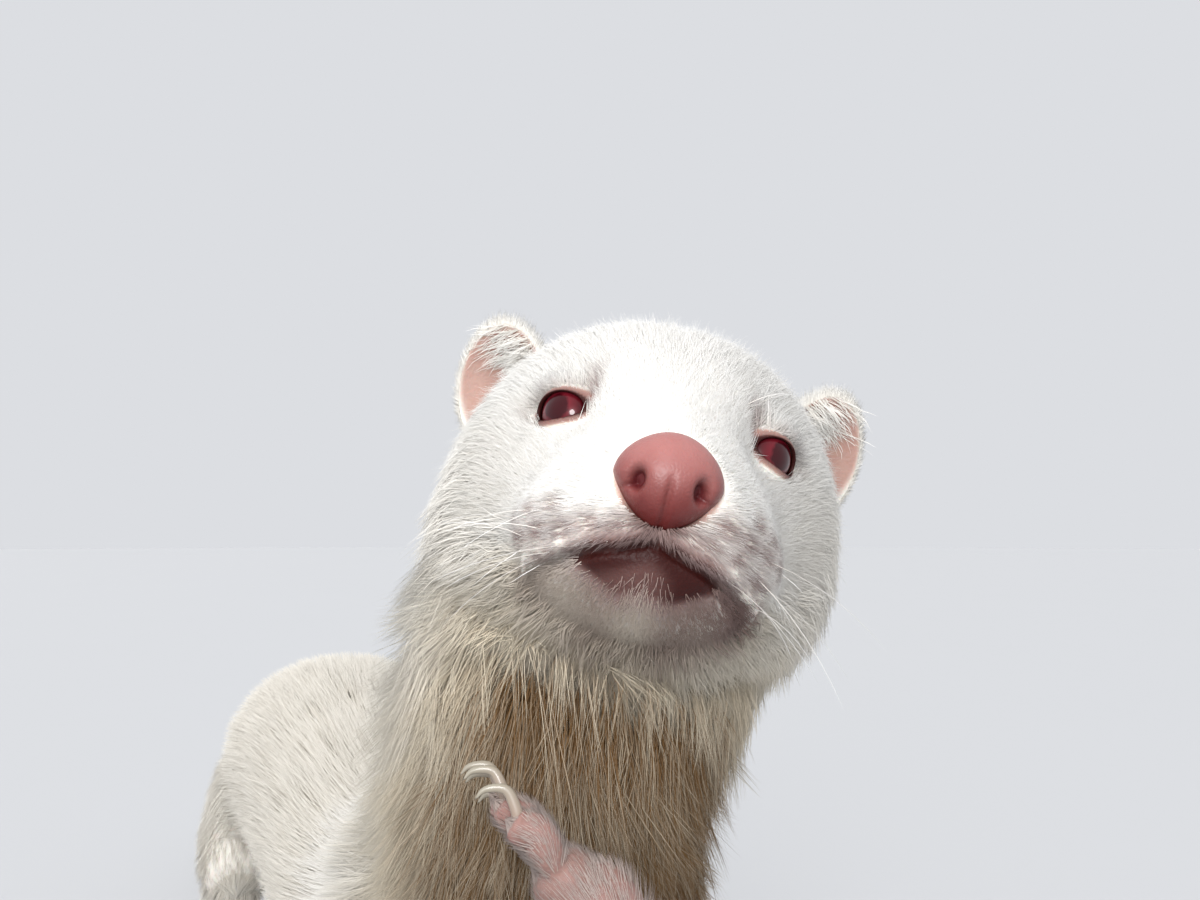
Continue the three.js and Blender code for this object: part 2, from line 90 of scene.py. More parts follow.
# Each form: back from the nose, degrees up from the side, spread of both, height over the row.
HEAD_FORMS = (
    (12, -8, 6, 24, 1.5),
    (25, 70, 6, 15, 0.9),
    (19, 44, 4.5, 12, -1.3),
    (41, 2, 9, 26, 1.2),
    (19, 18, 5, 14, -0.7),
    (10, -90, 5, 26, 0.9),
)
MOUTH_FRONT = 2.4
MOUTH_CORNER = 22
MOUTH_HIGH = -8.2
MOUTH_SLOPE = 0.43
MOUTH_GROOVE = 1.5
LOWER_LIP_DENT = 1.0
NOSE_CLEFT = 0.7
NOSE_SEAT = 4
COAT_ON_MUZZLE = 0.45
COAT_ON_CHEEKS = 4.2
COAT_UNDER_JAW = 1.2


def turned(points, x=0, y=0, z=0):
    """Points turned by degrees about x, then y, then z."""
    turn = Matrix.Identity(3)
    for degrees, axis in ((x, "X"), (y, "Y"), (z, "Z")):
        turn = Matrix.Rotation(math.radians(degrees), 3, axis) @ turn
    return np.asarray(points, float) @ np.array(turn).T


HEAD = turned(turned(np.eye(3), y=HEAD_ROLL), z=HEAD_TURN)


def from_head(points):
    """From the head's own frame to the body's."""
    return np.asarray(points, float) @ HEAD + NOSE_AT


def to_head(points):
    return (points - NOSE_AT) @ HEAD.T


eye_box = np.array([tuple(corner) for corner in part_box("eye_left")])
SHIFT = eye_box.mean(0) * 1000 - from_head(EYE_AT)


def metres(points):
    """From the body's millimetres to the frame's metres."""
    return (points + SHIFT) / 1000


def millimetres(points):
    return points * 1000 - SHIFT


def rise(x, low, high):
    """Smoothly from 0 at low to 1 at high."""
    t = np.clip((x - low) / (high - low), 0, 1)
    return t * t * (3 - 2 * t)


def fade(x, low, high):
    return 1 - rise(x, low, high)


def hill(x, middle, spread):
    return np.exp(-(((x - middle) / spread) ** 2))


def length_of(vectors):
    return np.linalg.norm(vectors, axis=-1, keepdims=True)


def spline(rows, t):
    """Rows of numbers read smoothly from the first, at t = 0, to the last, at t = 1."""
    rows = np.asarray(rows, float)
    last = len(rows) - 1
    place = np.clip(t, 0, 1) * last
    i = np.minimum(place.astype(int), last - 1)
    f = (place - i)[:, None]
    b, c = rows[i], rows[i + 1]
    a = np.where((i > 0)[:, None], rows[i - 1], 2 * b - c)
    d = np.where((i < last - 1)[:, None], rows[np.minimum(i + 2, last)], 2 * c - b)
    return b + 0.5 * f * (c - a + f * (2 * a - 5 * b + 4 * c - d + f * (3 * (b - c) + d - a)))


def round_ends(s, start, end):
    """Share of the full width along a form, closing both of its ends roundly."""
    share = np.minimum(np.minimum(s / start, (1 - s) / end), 1)
    return np.sqrt(np.maximum(0, 1 - (1 - share) ** 2))


def squared(c, power):
    """Sine or cosine of a rounded square instead of a circle."""
    return np.sign(c) * np.abs(c) ** (2 / power)


def head_form(s, angle, grow=0):
    """Outside of the coat, from nose (s = 0) to nape (s = 1) and round the head from its left."""
    s = np.clip(s, 0, 1)
    back, wide, top, bottom, middle, square_up, square_down = spline(HEAD_ROWS, s).T
    upper = np.sin(angle) > 0
    power = np.where(upper, square_up, square_down)
    high = np.where(upper, top - middle, middle - bottom)
    degrees = np.degrees(np.arctan2(np.sin(angle), np.abs(np.cos(angle))))
    lift = grow
    for y0, a0, spread_y, spread_a, height in HEAD_FORMS:
        lift = lift + height * hill(back, y0, spread_y) * hill(degrees, a0, spread_a)
    full = round_ends(s, 0.1, 0.16)
    x = squared(np.cos(angle), power) * (wide + lift) * full
    y = back + np.where(s < 0.5, -1, 1) * grow * (1 - full)
    z = middle + squared(np.sin(angle), power) * (high + lift) * full
    return np.stack((x, y, z), 1)


def head_coat(s, angle):
    back = spline(HEAD_ROWS, np.clip(s, 0, 1))[:, 0]
    below = rise(-np.sin(angle), 0.2, 1)
    cheeks = COAT_ON_CHEEKS * rise(back, 16, 66)
    return COAT_ON_MUZZLE + cheeks + COAT_UNDER_JAW * below * rise(back, 8, 40)


def mouth_height(x, y):
    return MOUTH_HIGH - MOUTH_SLOPE * (y - MOUTH_FRONT) + 1.3 * hill(x, 0, 3) - 0.006 * x * x


def lower_lip(x):
    return fade(np.abs(x), 2, 9)


def head_skin(s, angle):
    points = head_form(s, angle, -head_coat(s, angle))
    inward = -(points - np.stack((0 * s, points[:, 1] + 3, 0 * s - 7), 1))
    inward /= length_of(inward)
    x, y, z = points.T
    above = z - mouth_height(x, y)
    lip = fade(y, MOUTH_CORNER - 5, MOUTH_CORNER)
    dent = MOUTH_GROOVE * hill(above, 0, 0.5) - 0.5 * hill(above, 1.3, 0.9)
    dent += np.where(above < 0, LOWER_LIP_DENT * lower_lip(x) * hill(above, 0, 2.6), 0)
    cleft = NOSE_CLEFT * hill(x, 0, 0.6) * rise(above, 0, 1) * fade(y, 5, 8)
    points = points + inward * (lip * dent + cleft)[:, None]
    behind_nose = fade(np.hypot(x, z + 0.3), 3.8, 5.4)
    points[:, 1] += NOSE_SEAT * behind_nose * (y < 9)
    return points


def coordinates(piece):
    flat = np.empty(len(piece.data.vertices) * 3)
    piece.data.vertices.foreach_get("co", flat)
    return flat.reshape(-1, 3)


def move_vertices(piece, points):
    piece.data.vertices.foreach_set("co", points.ravel())
    piece.data.update()


def only(*chosen):
    bpy.ops.object.select_all(action="DESELECT")
    for piece in chosen:
        piece.select_set(True)
    bpy.context.view_layer.objects.active = chosen[0]


def face_outwards(piece):
    only(piece)
    bpy.ops.object.mode_set(mode="EDIT")
    bpy.ops.mesh.select_all(action="SELECT")
    bpy.ops.mesh.normals_make_consistent(inside=False)
    bpy.ops.object.mode_set(mode="OBJECT")


def shaped_ball(name, sides, rings, place):
    """A ball with each point moved to the place of its share down it and angle round it."""
    bpy.ops.object.select_all(action="DESELECT")
    bpy.ops.mesh.primitive_uv_sphere_add(segments=sides, ring_count=rings, radius=1)
    piece = bpy.context.object
    piece.name = name
    unit = coordinates(piece)
    s = np.arccos(np.clip(unit[:, 2], -1, 1)) / math.pi
    move_vertices(piece, metres(place(s, np.arctan2(unit[:, 1], unit[:, 0]))))
    face_outwards(piece)
    return piece


head = shaped_ball("head_skin", 230, 150, lambda s, a: from_head(head_skin(s**1.2, a)))


# Neck, trunk, legs, feet and tail are the same hide, one closed skin with the head. It lies five
# to eight millimetres under the long coat of the trunk and tail, and close under that of the feet.
TRUNK_COAT = 6.5
TAIL_COAT = 7.4
LIMB_COAT = 1.2
ROUNDNESS = 2.2
# Each row: place, half width, and height above and below it. The neck's are in the head's frame.
NECK_SKIN_ROWS = (
    ((0, 60, 4), (22, 17, 20)),
    ((-1, 56, -12), (32.5, 26, 29)),
    ((-3, 53, -28), (32, 29, 31)),
    ((-4, 51, -45), (28.5, 29, 28.5)),
)
TRUNK_ROWS = [(*from_head(at), *half) for at, half in NECK_SKIN_ROWS] + [
    (1, 60, 85, 28.5, 29, 29),
    (0, 85, 71, 31, 29, 31),
    (0, 118, 67, 32.5, 30.5, 31.5),
    (0, 155, 71, 32, 31.5, 30.5),
    (0, 192, 75, 33, 32.5, 31.5),
    (0, 226, 71, 34, 32.5, 33),
    (0, 254, 62, 28, 27, 27),
    (0, 274, 57, 17, 16, 16),
]
TAIL_ROWS = (
    (0, 258, 61, 13, 13, 13),
    (0, 284, 53, 12, 12, 12),
    (1, 312, 43, 12, 12, 12),
    (4, 340, 34, 11, 11, 11),
    (8, 366, 29, 8.5, 8.5, 8.5),
    (13, 391, 27, 3.5, 3.5, 3.5),
)
STANDING_LEG = (
    (
        (19, 87, 70, 14, 20, 20),
        (22.5, 90, 53, 12.5, 15, 15),
        (21, 86, 37, 9.8, 11.2, 11.2),
        (18, 80, 21, 8, 9, 9),
        (17.2, 77.5, 11, 7.8, 8.6, 8.6),
        (17, 76, 2.5, 7.4, 8, 8),
    ),
)
WRIST = np.array((-15.4, 9, 99.5))
LIFTED_LEG = (
    (
        (-20, 84, 72, 13, 19, 19),
        (-23, 70, 66, 12, 15, 15),
        (-21, 55, 60, 10.5, 12, 12),
        (-18, 39, 57, 8.5, 9, 9),
    ),
    (
        (-19, 51, 58, 8, 8.5, 8.5),
        (-17, 34, 61, 8.6, 9.2, 9.2),
        (-14.5, 22, 73, 8, 8.6, 8.6),
        (*WRIST, 5.8, 6.6, 6.6),
        (-18.9, 13, 106.5, 5, 5, 5),
    ),
)
HIND_LEG = (
    (
        (17, 238, 74, 15, 24, 24),
        (22, 231, 60, 14.5, 24, 22),
        (27, 221, 47, 12.5, 18, 17),
        (29, 211, 38, 9.5, 11, 11),
    ),
    (
        (28, 212, 50, 8.5, 9.5, 9.5),
        (28.8, 220, 39, 9.4, 11, 11),
        (28, 235, 26, 8, 9.4, 9.4),
        (27.4, 245, 15, 7.6, 8.8, 8.8),
        (27, 246, 7, 7.4, 8.4, 8.4),
        (27, 243, 1.5, 7, 7.6, 7.6),
    ),
)


def loft(rows, s, angle, grow=0, cap=0.1, cap_end=None, sideways=None):
    """A rounded form along rows, with its ends closed; sideways gives its width's direction."""
    s = np.clip(s, 0, 1)
    row = spline(rows, s)
    along = spline(rows, np.minimum(1, s + 1e-3)) - spline(rows, np.maximum(0, s - 1e-3))
    along = along[:, :3] / length_of(along[:, :3])
    side = np.tile((1.0, 0, 0), (len(s), 1)) if sideways is None else sideways(s)
    side = side - along * (side * along).sum(1, keepdims=True)
    side /= length_of(side)
    top = np.cross(side, along)
    full = round_ends(s, cap, cap_end or cap)
    high = np.where(np.sin(angle) > 0, row[:, 4], row[:, 5])
    c = squared(np.cos(angle), ROUNDNESS) * (row[:, 3] + grow) * full
    h = squared(np.sin(angle), ROUNDNESS) * (high + grow) * full
    end = grow * np.where(s < 0.5, -1, 1) * (1 - full)
    return row[:, :3] + side * c[:, None] + top * h[:, None] + along * end[:, None]


def form_along(rows, cap, cap_end=None):
    return lambda s, angle, grow=0: loft(rows, s, angle, grow, cap, cap_end)


def trunk_side(s):
    """The neck turns from the head's tilt to the level of the shoulders."""
    share = rise(s * (len(TRUNK_ROWS) - 1) / 4, 0.2, 1)[:, None]
    return HEAD[0] * (1 - share) + np.array((1.0, 0, 0)) * share


def trunk_form(s, angle, grow=0):
    return loft(TRUNK_ROWS, s, angle, grow, cap=0.05, sideways=trunk_side)


def trunk_coat(s, angle):
    belly = rise(-np.sin(angle), 0, 1) * (s > 0.4)
    return TRUNK_COAT + 1.2 * hill(s, 0.25, 0.12) - 1.5 * belly


tail_form = form_along(TAIL_ROWS, 0.08, 0.1)


def tail_coat(s, angle):
    return TAIL_COAT * (1 - 0.75 * rise(s, 0.6, 1)) + 0 * angle


def leg_form(rows, side=1):
    rows = [(side * row[0], *row[1:]) for row in rows]
    return form_along(rows, 0.14)


def leg_coat(k):
    """Depth of the coat on the upper (k = 0) or the lower length of a leg."""
    thin = LIMB_COAT + 0.6 * (k == 0)
    return lambda s, angle: thin + 2.2 * fade(s, 0.1, 0.75)


FOREPAW = dict(long=12, wide=17, high=9, toe=8.5, spread=3.5, splay=0.16, claw=6.5, hook=3.4)
CLOSED_PAW = FOREPAW | dict(wide=14.5, spread=2.7, splay=0.03, claw=4.2, hook=3.5)
HIND_FOOT = dict(long=32, wide=16, high=10, toe=9.5, spread=3.4, splay=0.16, claw=5.5, hook=3.2)
TOES = range(-2, 3)
SINK = 0.9
PAW_COAT = 0.45


def palm_form(long, wide, high, **rest):
    rows = (
        (0, 5, 4.2, wide * 0.36, high * 0.5, 4.2),
        (0, -long * 0.35, high * 0.5, wide * 0.42, high * 0.48, high * 0.5),
        (0, -long, high * 0.42, wide * 0.46, high * 0.42, high * 0.42),
    )
    return form_along(rows, 0.22)


def toe_tip(n, long, toe, spread, splay, **rest):
    reach = toe * (1 - 0.1 * n * n)
    return n * spread + splay * n * reach, -long - reach, 2.5


def toe_form(n, long, high, toe, spread, splay, **rest):
    reach = toe * (1 - 0.1 * n * n)
    x = n * spread
    fan = splay * n
    tip = toe_tip(n, long, toe, spread, splay)
    rows = (
        (x * 0.9, -long + 3, high * 0.4, 2.1, 2.2, 2.2),
        (x + fan * reach * 0.4, -long - reach * 0.35, high * 0.46, 2.3, 2.4, 2.6),
        (x + fan * reach * 0.75, -long - reach * 0.72, 3.1, 1.9, 2.1, 2.3),
        (*tip, 1.9, 1.9, 2.3),
    )
    return form_along(rows, 0.3)


def lifted_frame(points):
    """The right forepaw hangs from the lifted wrist with its toes up and inwards."""
    back = -np.array((-0.43, 0.46, 0.8))
    back /= np.linalg.norm(back)
    up = np.array((0.82, -0.16, 0.5))
    up -= back * up.dot(back)
    up /= np.linalg.norm(up)
    turn = np.stack((np.cross(back, up), back, up))
    return points @ turn + WRIST - up * CLOSED_PAW["high"] * 0.5


def on_floor(at, degrees):
    return lambda points: turned(points, z=degrees) + np.array((*at, -SINK))


PAWS = {
    "forepaw_left": (FOREPAW, on_floor((17, 77), 4)),
    "forepaw_right": (CLOSED_PAW, lifted_frame),
    "hind_foot_left": (HIND_FOOT, on_floor((27, 247), -3)),
    "hind_foot_right": (HIND_FOOT, on_floor((-27, 247), 3)),
}
LEGS = {
    "foreleg_left": [leg_form(rows) for rows in STANDING_LEG],
    "foreleg_right": [leg_form(rows) for rows in LIFTED_LEG],
    "hind_leg_left": [leg_form(rows) for rows in HIND_LEG],
    "hind_leg_right": [leg_form(rows, -1) for rows in HIND_LEG],
}


def under(form, coat):
    return lambda s, angle: form(s, angle, -coat(s, angle))


def foot_forms(paw):
    return [palm_form(**paw)] + [toe_form(n, **paw) for n in TOES]


flesh = [
    shaped_ball("trunk_skin", 96, 120, under(trunk_form, trunk_coat)),
    shaped_ball("tail_skin", 36, 60, under(tail_form, tail_coat)),
]
for name, lengths in LEGS.items():
    for k, form in enumerate(lengths):
        flesh.append(shaped_ball(name, 40, 40, under(form, leg_coat(k))))
for name, (paw, placed) in PAWS.items():
    for k, form in enumerate(foot_forms(paw)):
        sides, rings = (40, 24) if k == 0 else (20, 18)
        flesh.append(shaped_ball(name, sides, rings, lambda s, a: placed(form(s, a, -PAW_COAT))))


# The ears are thin cups of the same skin, rooted in the sides of the crown and open to the
# front. Their rims are rolled, and a fold crosses the lower part of each cup.
EAR_HALF = (9.0, 10.8)
EAR_WALL = 0.85
EAR_DEEP = 4.6
EAR_FOLD = 1.1


def ear_form(s, angle):
    wide, high = EAR_HALF
    polar = s * math.pi
    out = np.sin(polar)
    front = np.cos(polar) > 0
    droop = 1 - 0.12 * np.sin(angle)
    wall = EAR_WALL + 0.35 * hill(out, 0.96, 0.08)
    fold = front * EAR_FOLD * hill(out, 0.62, 0.13) * hill(np.sin(angle + 0.5), -0.9, 0.6)
    x = out * wide * droop * np.cos(angle)
    y = EAR_DEEP * (1 - out * out) - np.cos(polar) * wall - fold
    z = out * high * np.sin(angle)
    return np.stack((x, y, z), 1)


def mirrored(at, side):
    return side * at[0], at[1], at[2]


def in_ear_place(points, side):
    x, y, z = EAR_TURN
    return from_head(turned(points, x, side * y, side * z) + mirrored(EAR_AT, side))


for side in (1, -1):
    flesh.append(shaped_ball("ear", 64, 40, lambda s, a: in_ear_place(ear_form(s, a), side)))


# The eyelids are two soft rims round each eye, part of the same skin. They are rounder above
# than below, and the ball shows only through the almond-shaped opening between them.
LID = 0.6
LID_GAP = 0.15
LID_OPENING = (4.35, 2.35, 1.75)
OPENING_LOW = 0.2


def in_eye_place(points, side):
    slanted = turned(turned(points, y=side * EYE_SLANT), x=EYE_DOWN)
    return from_head(turned(slanted, z=side * EYE_OUT) + mirrored(EYE_AT, side))


def ball(s, angle):
    """A ball of radius 1 that looks along -y."""
    polar = s * math.pi
    x, z = np.sin(polar) * np.cos(angle), np.sin(polar) * np.sin(angle)
    return np.stack((x, -np.cos(polar), z), 1)


def opening(s, angle):
    wide, above, below = LID_OPENING
    unit = ball(s, angle)
    high = np.where(unit[:, 2] > 0, above, below)
    moved = unit * np.stack((wide + 0 * s, 4 + 0 * s, high), 1)
    return moved - np.array((0, EYE_RADIUS + LID, OPENING_LOW))


holes = []
for side in (1, -1):
    lid = EYE_RADIUS + LID + LID_GAP
    lid_half = (lid, lid, 0.9 * lid)
    flesh.append(shaped_ball("lid", 64, 48, lambda s, a: in_eye_place(ball(s, a) * lid_half, side)))
    socket = EYE_RADIUS + LID_GAP
    for place in (lambda s, a: ball(s, a) * socket, opening):
        holes.append(shaped_ball("opening", 64, 48, lambda s, a: in_eye_place(place(s, a), side)))


def boolean(piece, others, operation):
    group = bpy.data.collections.new("others")
    bpy.context.scene.collection.children.link(group)
    for other in others:
        group.objects.link(other)
    only(piece)
    cut = piece.modifiers.new("cut", "BOOLEAN")
    cut.operation = operation
    cut.operand_type = "COLLECTION"
    cut.collection = group
    cut.solver = "MANIFOLD"
    bpy.ops.object.modifier_apply(modifier="cut")
    for other in others:
        bpy.data.objects.remove(other)
    bpy.data.collections.remove(group)


skin = head
skin.name = "skin"
boolean(skin, flesh, "UNION")
boolean(skin, holes, "DIFFERENCE")


SAME_PLACE = 2e-5
SHARP_JOIN = 24
SMOOTHING_TURNS = 5


def soften_joins():
    """Smooths the skin near its sharp joins, adding neighbours in the same order on each run."""
    only(skin)
    bpy.ops.object.mode_set(mode="EDIT")
    bpy.ops.mesh.select_all(action="SELECT")
    bpy.ops.mesh.remove_doubles(threshold=SAME_PLACE)
    bpy.ops.mesh.select_all(action="DESELECT")
    bpy.ops.mesh.edges_select_sharp(sharpness=math.radians(SHARP_JOIN))
    bpy.ops.mesh.select_more()
    bpy.ops.object.mode_set(mode="OBJECT")
    bpy.ops.object.shade_smooth()
    chosen = np.empty(len(skin.data.vertices), bool)
    skin.data.vertices.foreach_get("select", chosen)
    ends = np.empty(len(skin.data.edges) * 2, np.int32)
    skin.data.edges.foreach_get("vertices", ends)
    ends = np.unique(np.sort(ends.reshape(-1, 2), 1), axis=0)
    ends = np.concatenate((ends, ends[:, ::-1]))
    neighbours = np.maximum(np.bincount(ends[:, 0], minlength=len(chosen)), 1)[:, None]
    points = coordinates(skin)
    for turn in range(SMOOTHING_TURNS):
        around = np.zeros_like(points)
        np.add.at(around, ends[:, 0], points[ends[:, 1]])
        points[chosen] += 0.5 * (around / neighbours - points)[chosen]
    move_vertices(skin, points)


soften_joins()
resting = coordinates(skin)
resting[:, 2] = np.maximum(resting[:, 2], 0)
move_vertices(skin, resting)


# The markings, which hide and coat share: bare skin on lids, lips, ear cups and paws, mauve where
# the whiskers grow, round the mouth and at the eyes, mauve-brown on the lifted paw, partly dirt,
# and the throat's ochre stain. Painted shade darkens the line of the mouth, the edges of the lids,
# the skin under the nose, the crease below the lower lip, the hair round the eyes and at their
# inner corners, the lifted paw and the underside of the chin. They are measured in the frames of
# head, eyes and ears, in millimetres.
def in_eye_frame(points, side):
    straight = turned(to_head(points) - mirrored(EYE_AT, side), z=-side * EYE_OUT)
    return turned(turned(straight, x=-EYE_DOWN), y=-side * EYE_SLANT)


def in_ear_frame(points, side):
    x, y, z = EAR_TURN
    straight = turned(to_head(points) - mirrored(EAR_AT, side), z=-side * z)
    return turned(turned(straight, y=-side * y), x=-x)


def lid_ring(points):
    """Distance out from the edge of the nearer eye's opening."""
    nearest = np.full(len(points), 9.0)
    for side in (1, -1):
        x, y, z = in_eye_frame(points, side).T
        wide, above, below = LID_OPENING
        high = np.where(z > -OPENING_LOW, above, below)
        ring = np.hypot(x, (z + OPENING_LOW) * wide / high) - wide
        nearest = np.where(y < 0, np.minimum(nearest, ring), nearest)
    return nearest


def lip_line(points):
    """Distance from the edge of the bare lips: none on them, and more outwards from them."""
    x, y, z = to_head(points).T
    corner = rise(y, MOUTH_CORNER - 6, MOUTH_CORNER + 1) + rise(y, 24, 26) * 9
    above = z - mouth_height(x, y)
    lip = 3.0 * lower_lip(x) + 1.1 * hill(x, 0, 3)
    edge = np.where(above > 0, above, np.maximum(-above - lip, -0.12 * above))
    return edge + 3 * corner + 9 * (z < -26) + 2 * rise(np.abs(x), 7, 12)


# Each bed: its place on the left of the muzzle, in the head's frame, and its radius.
WHISKER_BEDS = (
    (6.5, 4.5, -6.6, 1.6), (9.3, 6.5, -7.6, 1.6), (12.2, 9, -8.4, 1.5), (10.8, 8.5, -5.4, 1.2),
    (13.6, 11.5, -6.6, 1.2), (14.5, 12.5, -9.6, 1.4), (8.4, 5.8, -9.4, 1.7),
    (11.4, 8.4, -11.2, 1.6), (15.4, 15, -7.9, 1.1), (12.6, 10.4, -12.2, 1.2), (5.2, 3.6, -8.4, 1.5),
)


def whisker_bed(points):
    """Dark whisker spots, and at each eye's inner corner a streak of partly painted shade."""
    x, y, z = to_head(points).T
    bed = np.zeros(len(points))
    for spot_x, spot_y, spot_z, spread in WHISKER_BEDS:
        high = z - spot_z - 2.6 * (x > 0)
        far = ((np.abs(x) - spot_x) ** 2 + (y - spot_y) ** 2 * 0.5 + high**2) / spread**2
        bed = np.maximum(bed, np.exp(-far * 0.7))
    # Painted shade: a mauve streak up from the inner corner of each eye, over the lid.
    inner_corner = np.full(len(points), 99.0)
    for side in (1, -1):
        ex, ey, ez = in_eye_frame(points, side).T
        streak = ((ex + side * 4.6) / 1.4) ** 2 + ((ez - 2.6) / 2.7) ** 2
        inner_corner = np.where(ey < 0, np.minimum(inner_corner, streak), inner_corner)
    return np.maximum(bed, 0.9 * np.exp(-inner_corner))


# Mauve of the skin showing through the hair round the lips, and painted shade below the lower lip
# and in the mouth's crease, stronger on the left.
def near_lips(points):
    x, y, z = to_head(points).T
    above = z - mouth_height(x, y)
    far = np.where(above < 0, 6.5 + 3.5 * rise(x, 0, 6), 4.2)
    near = fade(np.abs(above) - 2.4 * lower_lip(x), 0, far)
    return near * fade(y, 14, 23) * (1 - 0.45 * rise(-x, 4, 10))


def nose_reach(points):
    return length_of((to_head(points) - (0, 4.5, -0.3)) / (1.12, 1, 1))[:, 0]


def inside_ear(points):
    hollow = np.zeros(len(points))
    for side in (1, -1):
        x, y, z = in_ear_frame(points, side).T
        out = np.hypot(x / EAR_HALF[0], z / EAR_HALF[1])
        cup = EAR_DEEP * (1 - out**2)
        hollow = np.maximum(hollow, (y < cup) * (y > -3) * fade(out, 0.88, 1.04))
    return hollow


LIFTED_PAW = WRIST + (-5, 5.4, 9.5)


def near_lifted_arm(points):
    nearest = np.full(len(points), 99.0)
    for start, end in zip(LIFTED_LEG[1][:-1], LIFTED_LEG[1][1:]):
        start, along = np.array(start[:3]), np.array(end[:3]) - np.array(start[:3])
        share = np.clip((points - start) @ along / along.dot(along), 0, 1)[:, None]
        nearest = np.minimum(nearest, length_of(points - start - along * share)[:, 0])
    paw = length_of(points - LIFTED_PAW)[:, 0]
    return np.maximum(fade(nearest, 9, 12), fade(paw, 15, 18))


# The middle of the throat's ochre, just under the chin, where the stain is darkened further as
# painted shade.
STAIN_AND_SHADE_AT = from_head((0, 46, -42))
RUMP_AT = (0, 268, 56)


def warmth(points):
    """Stain, none on the white face, brown mid-throat, and painted shade under the chin."""
    throat = length_of(points - STAIN_AND_SHADE_AT)[:, 0]
    rump = length_of(points - RUMP_AT)[:, 0]
    warm = 0.25 + 0.95 * np.exp(-((throat / 27) ** 2)) + 0.15 * np.exp(-((rump / 45) ** 2))
    warm = warm + 0.2 * np.exp(-((throat / 55) ** 2))
    face = rise(length_of(points - NOSE_AT - (0, 0, 14))[:, 0], 22, 60)
    x, y, z = to_head(points).T
    crown = rise(z, -2, 12) * fade(y, 35, 75)
    warm = warm * face * (1 - 0.85 * crown)
    warm = warm * (1 - 0.6 * rise(np.abs(x), 14, 28) * fade(y, 75, 95))
    warm = np.minimum(warm, 1 - 0.75 * rise(y, 46, 66))
    # Painted shade and painted warm reflected light under the chin: cream at its front, brown
    # further under the jaw.
    chin = 0.4 * rise(-z, 8, 14) + 0.6 * rise(-z, 19, 27)
    chin *= rise(y, -4, 8) * fade(np.abs(x), 12, 26)
    chin *= fade(y, 42, 60) * (z > -60)
    return np.clip(np.maximum(warm, chin) * (1 - 0.75 * near_lifted_arm(points)), 0, 1)


# The lifted paw and forearm are mauve-brown, partly dirt and partly painted shade; the standing
# paws only a little.
def paw_tint(points):
    lifted = fade(length_of(points - LIFTED_PAW)[:, 0], 12, 42)
    return np.maximum(0.78 * lifted * near_lifted_arm(points), 0.12 * on_paw(points))


def on_paw(points):
    low = fade(points[:, 2], 5, 12)
    lifted = fade(length_of(points - LIFTED_PAW)[:, 0], 10, 16)
    return np.maximum(low, lifted)


def mark(piece, name, values):
    layer = piece.data.attributes.new(name, "FLOAT", "POINT")
    layer.data.foreach_set("value", values)


at = millimetres(coordinates(skin))
ring, lips, nose_far = lid_ring(at), lip_line(at), nose_reach(at)
x, y, z = to_head(at).T
lids_and_nose = np.maximum(fade(ring, 1.2, 2.2), fade(nose_far, 5.2, 5.9))
bare_lips = fade(lips, 0.4, 1.2)
mark(skin, "bare", np.maximum.reduce((lids_and_nose, bare_lips, inside_ear(at), on_paw(at))))
to_corner = rise(np.abs(x), 6, 12)
# Painted shade, dark maroon, in the line of the mouth and at the edges of the lids, lighter on the
# middle of the lower lip and towards the corners, and under the nose.
lip_shade = 1 - 0.4 * rise(mouth_height(x, y) - z, 1, 3) * fade(x, 0, 4)
lip_shade *= 1 - 0.7 * to_corner
deep = np.maximum(fade(ring, 0, 0.5), fade(lips, 0.3, 1.3) * lip_shade)
under_nose = fade(nose_far, 5.7, 6.8) * rise(-z, 2.5, 5)
mark(skin, "deep", np.maximum(deep, 0.8 * under_nose))
round_lips = fade(lips, 1, 4) * (1 - 0.3 * to_corner)
round_eyes = 0.75 * fade(ring, 0.6, 2)
# Mauve of the skin, with painted shade at the eyes' inner corners and on the lifted paw.
mauve = np.maximum.reduce((0.9 * whisker_bed(at), round_lips, round_eyes, 0.85 * paw_tint(at)))
mark(skin, "mauve", mauve)
mark(skin, "warmth", warmth(at))


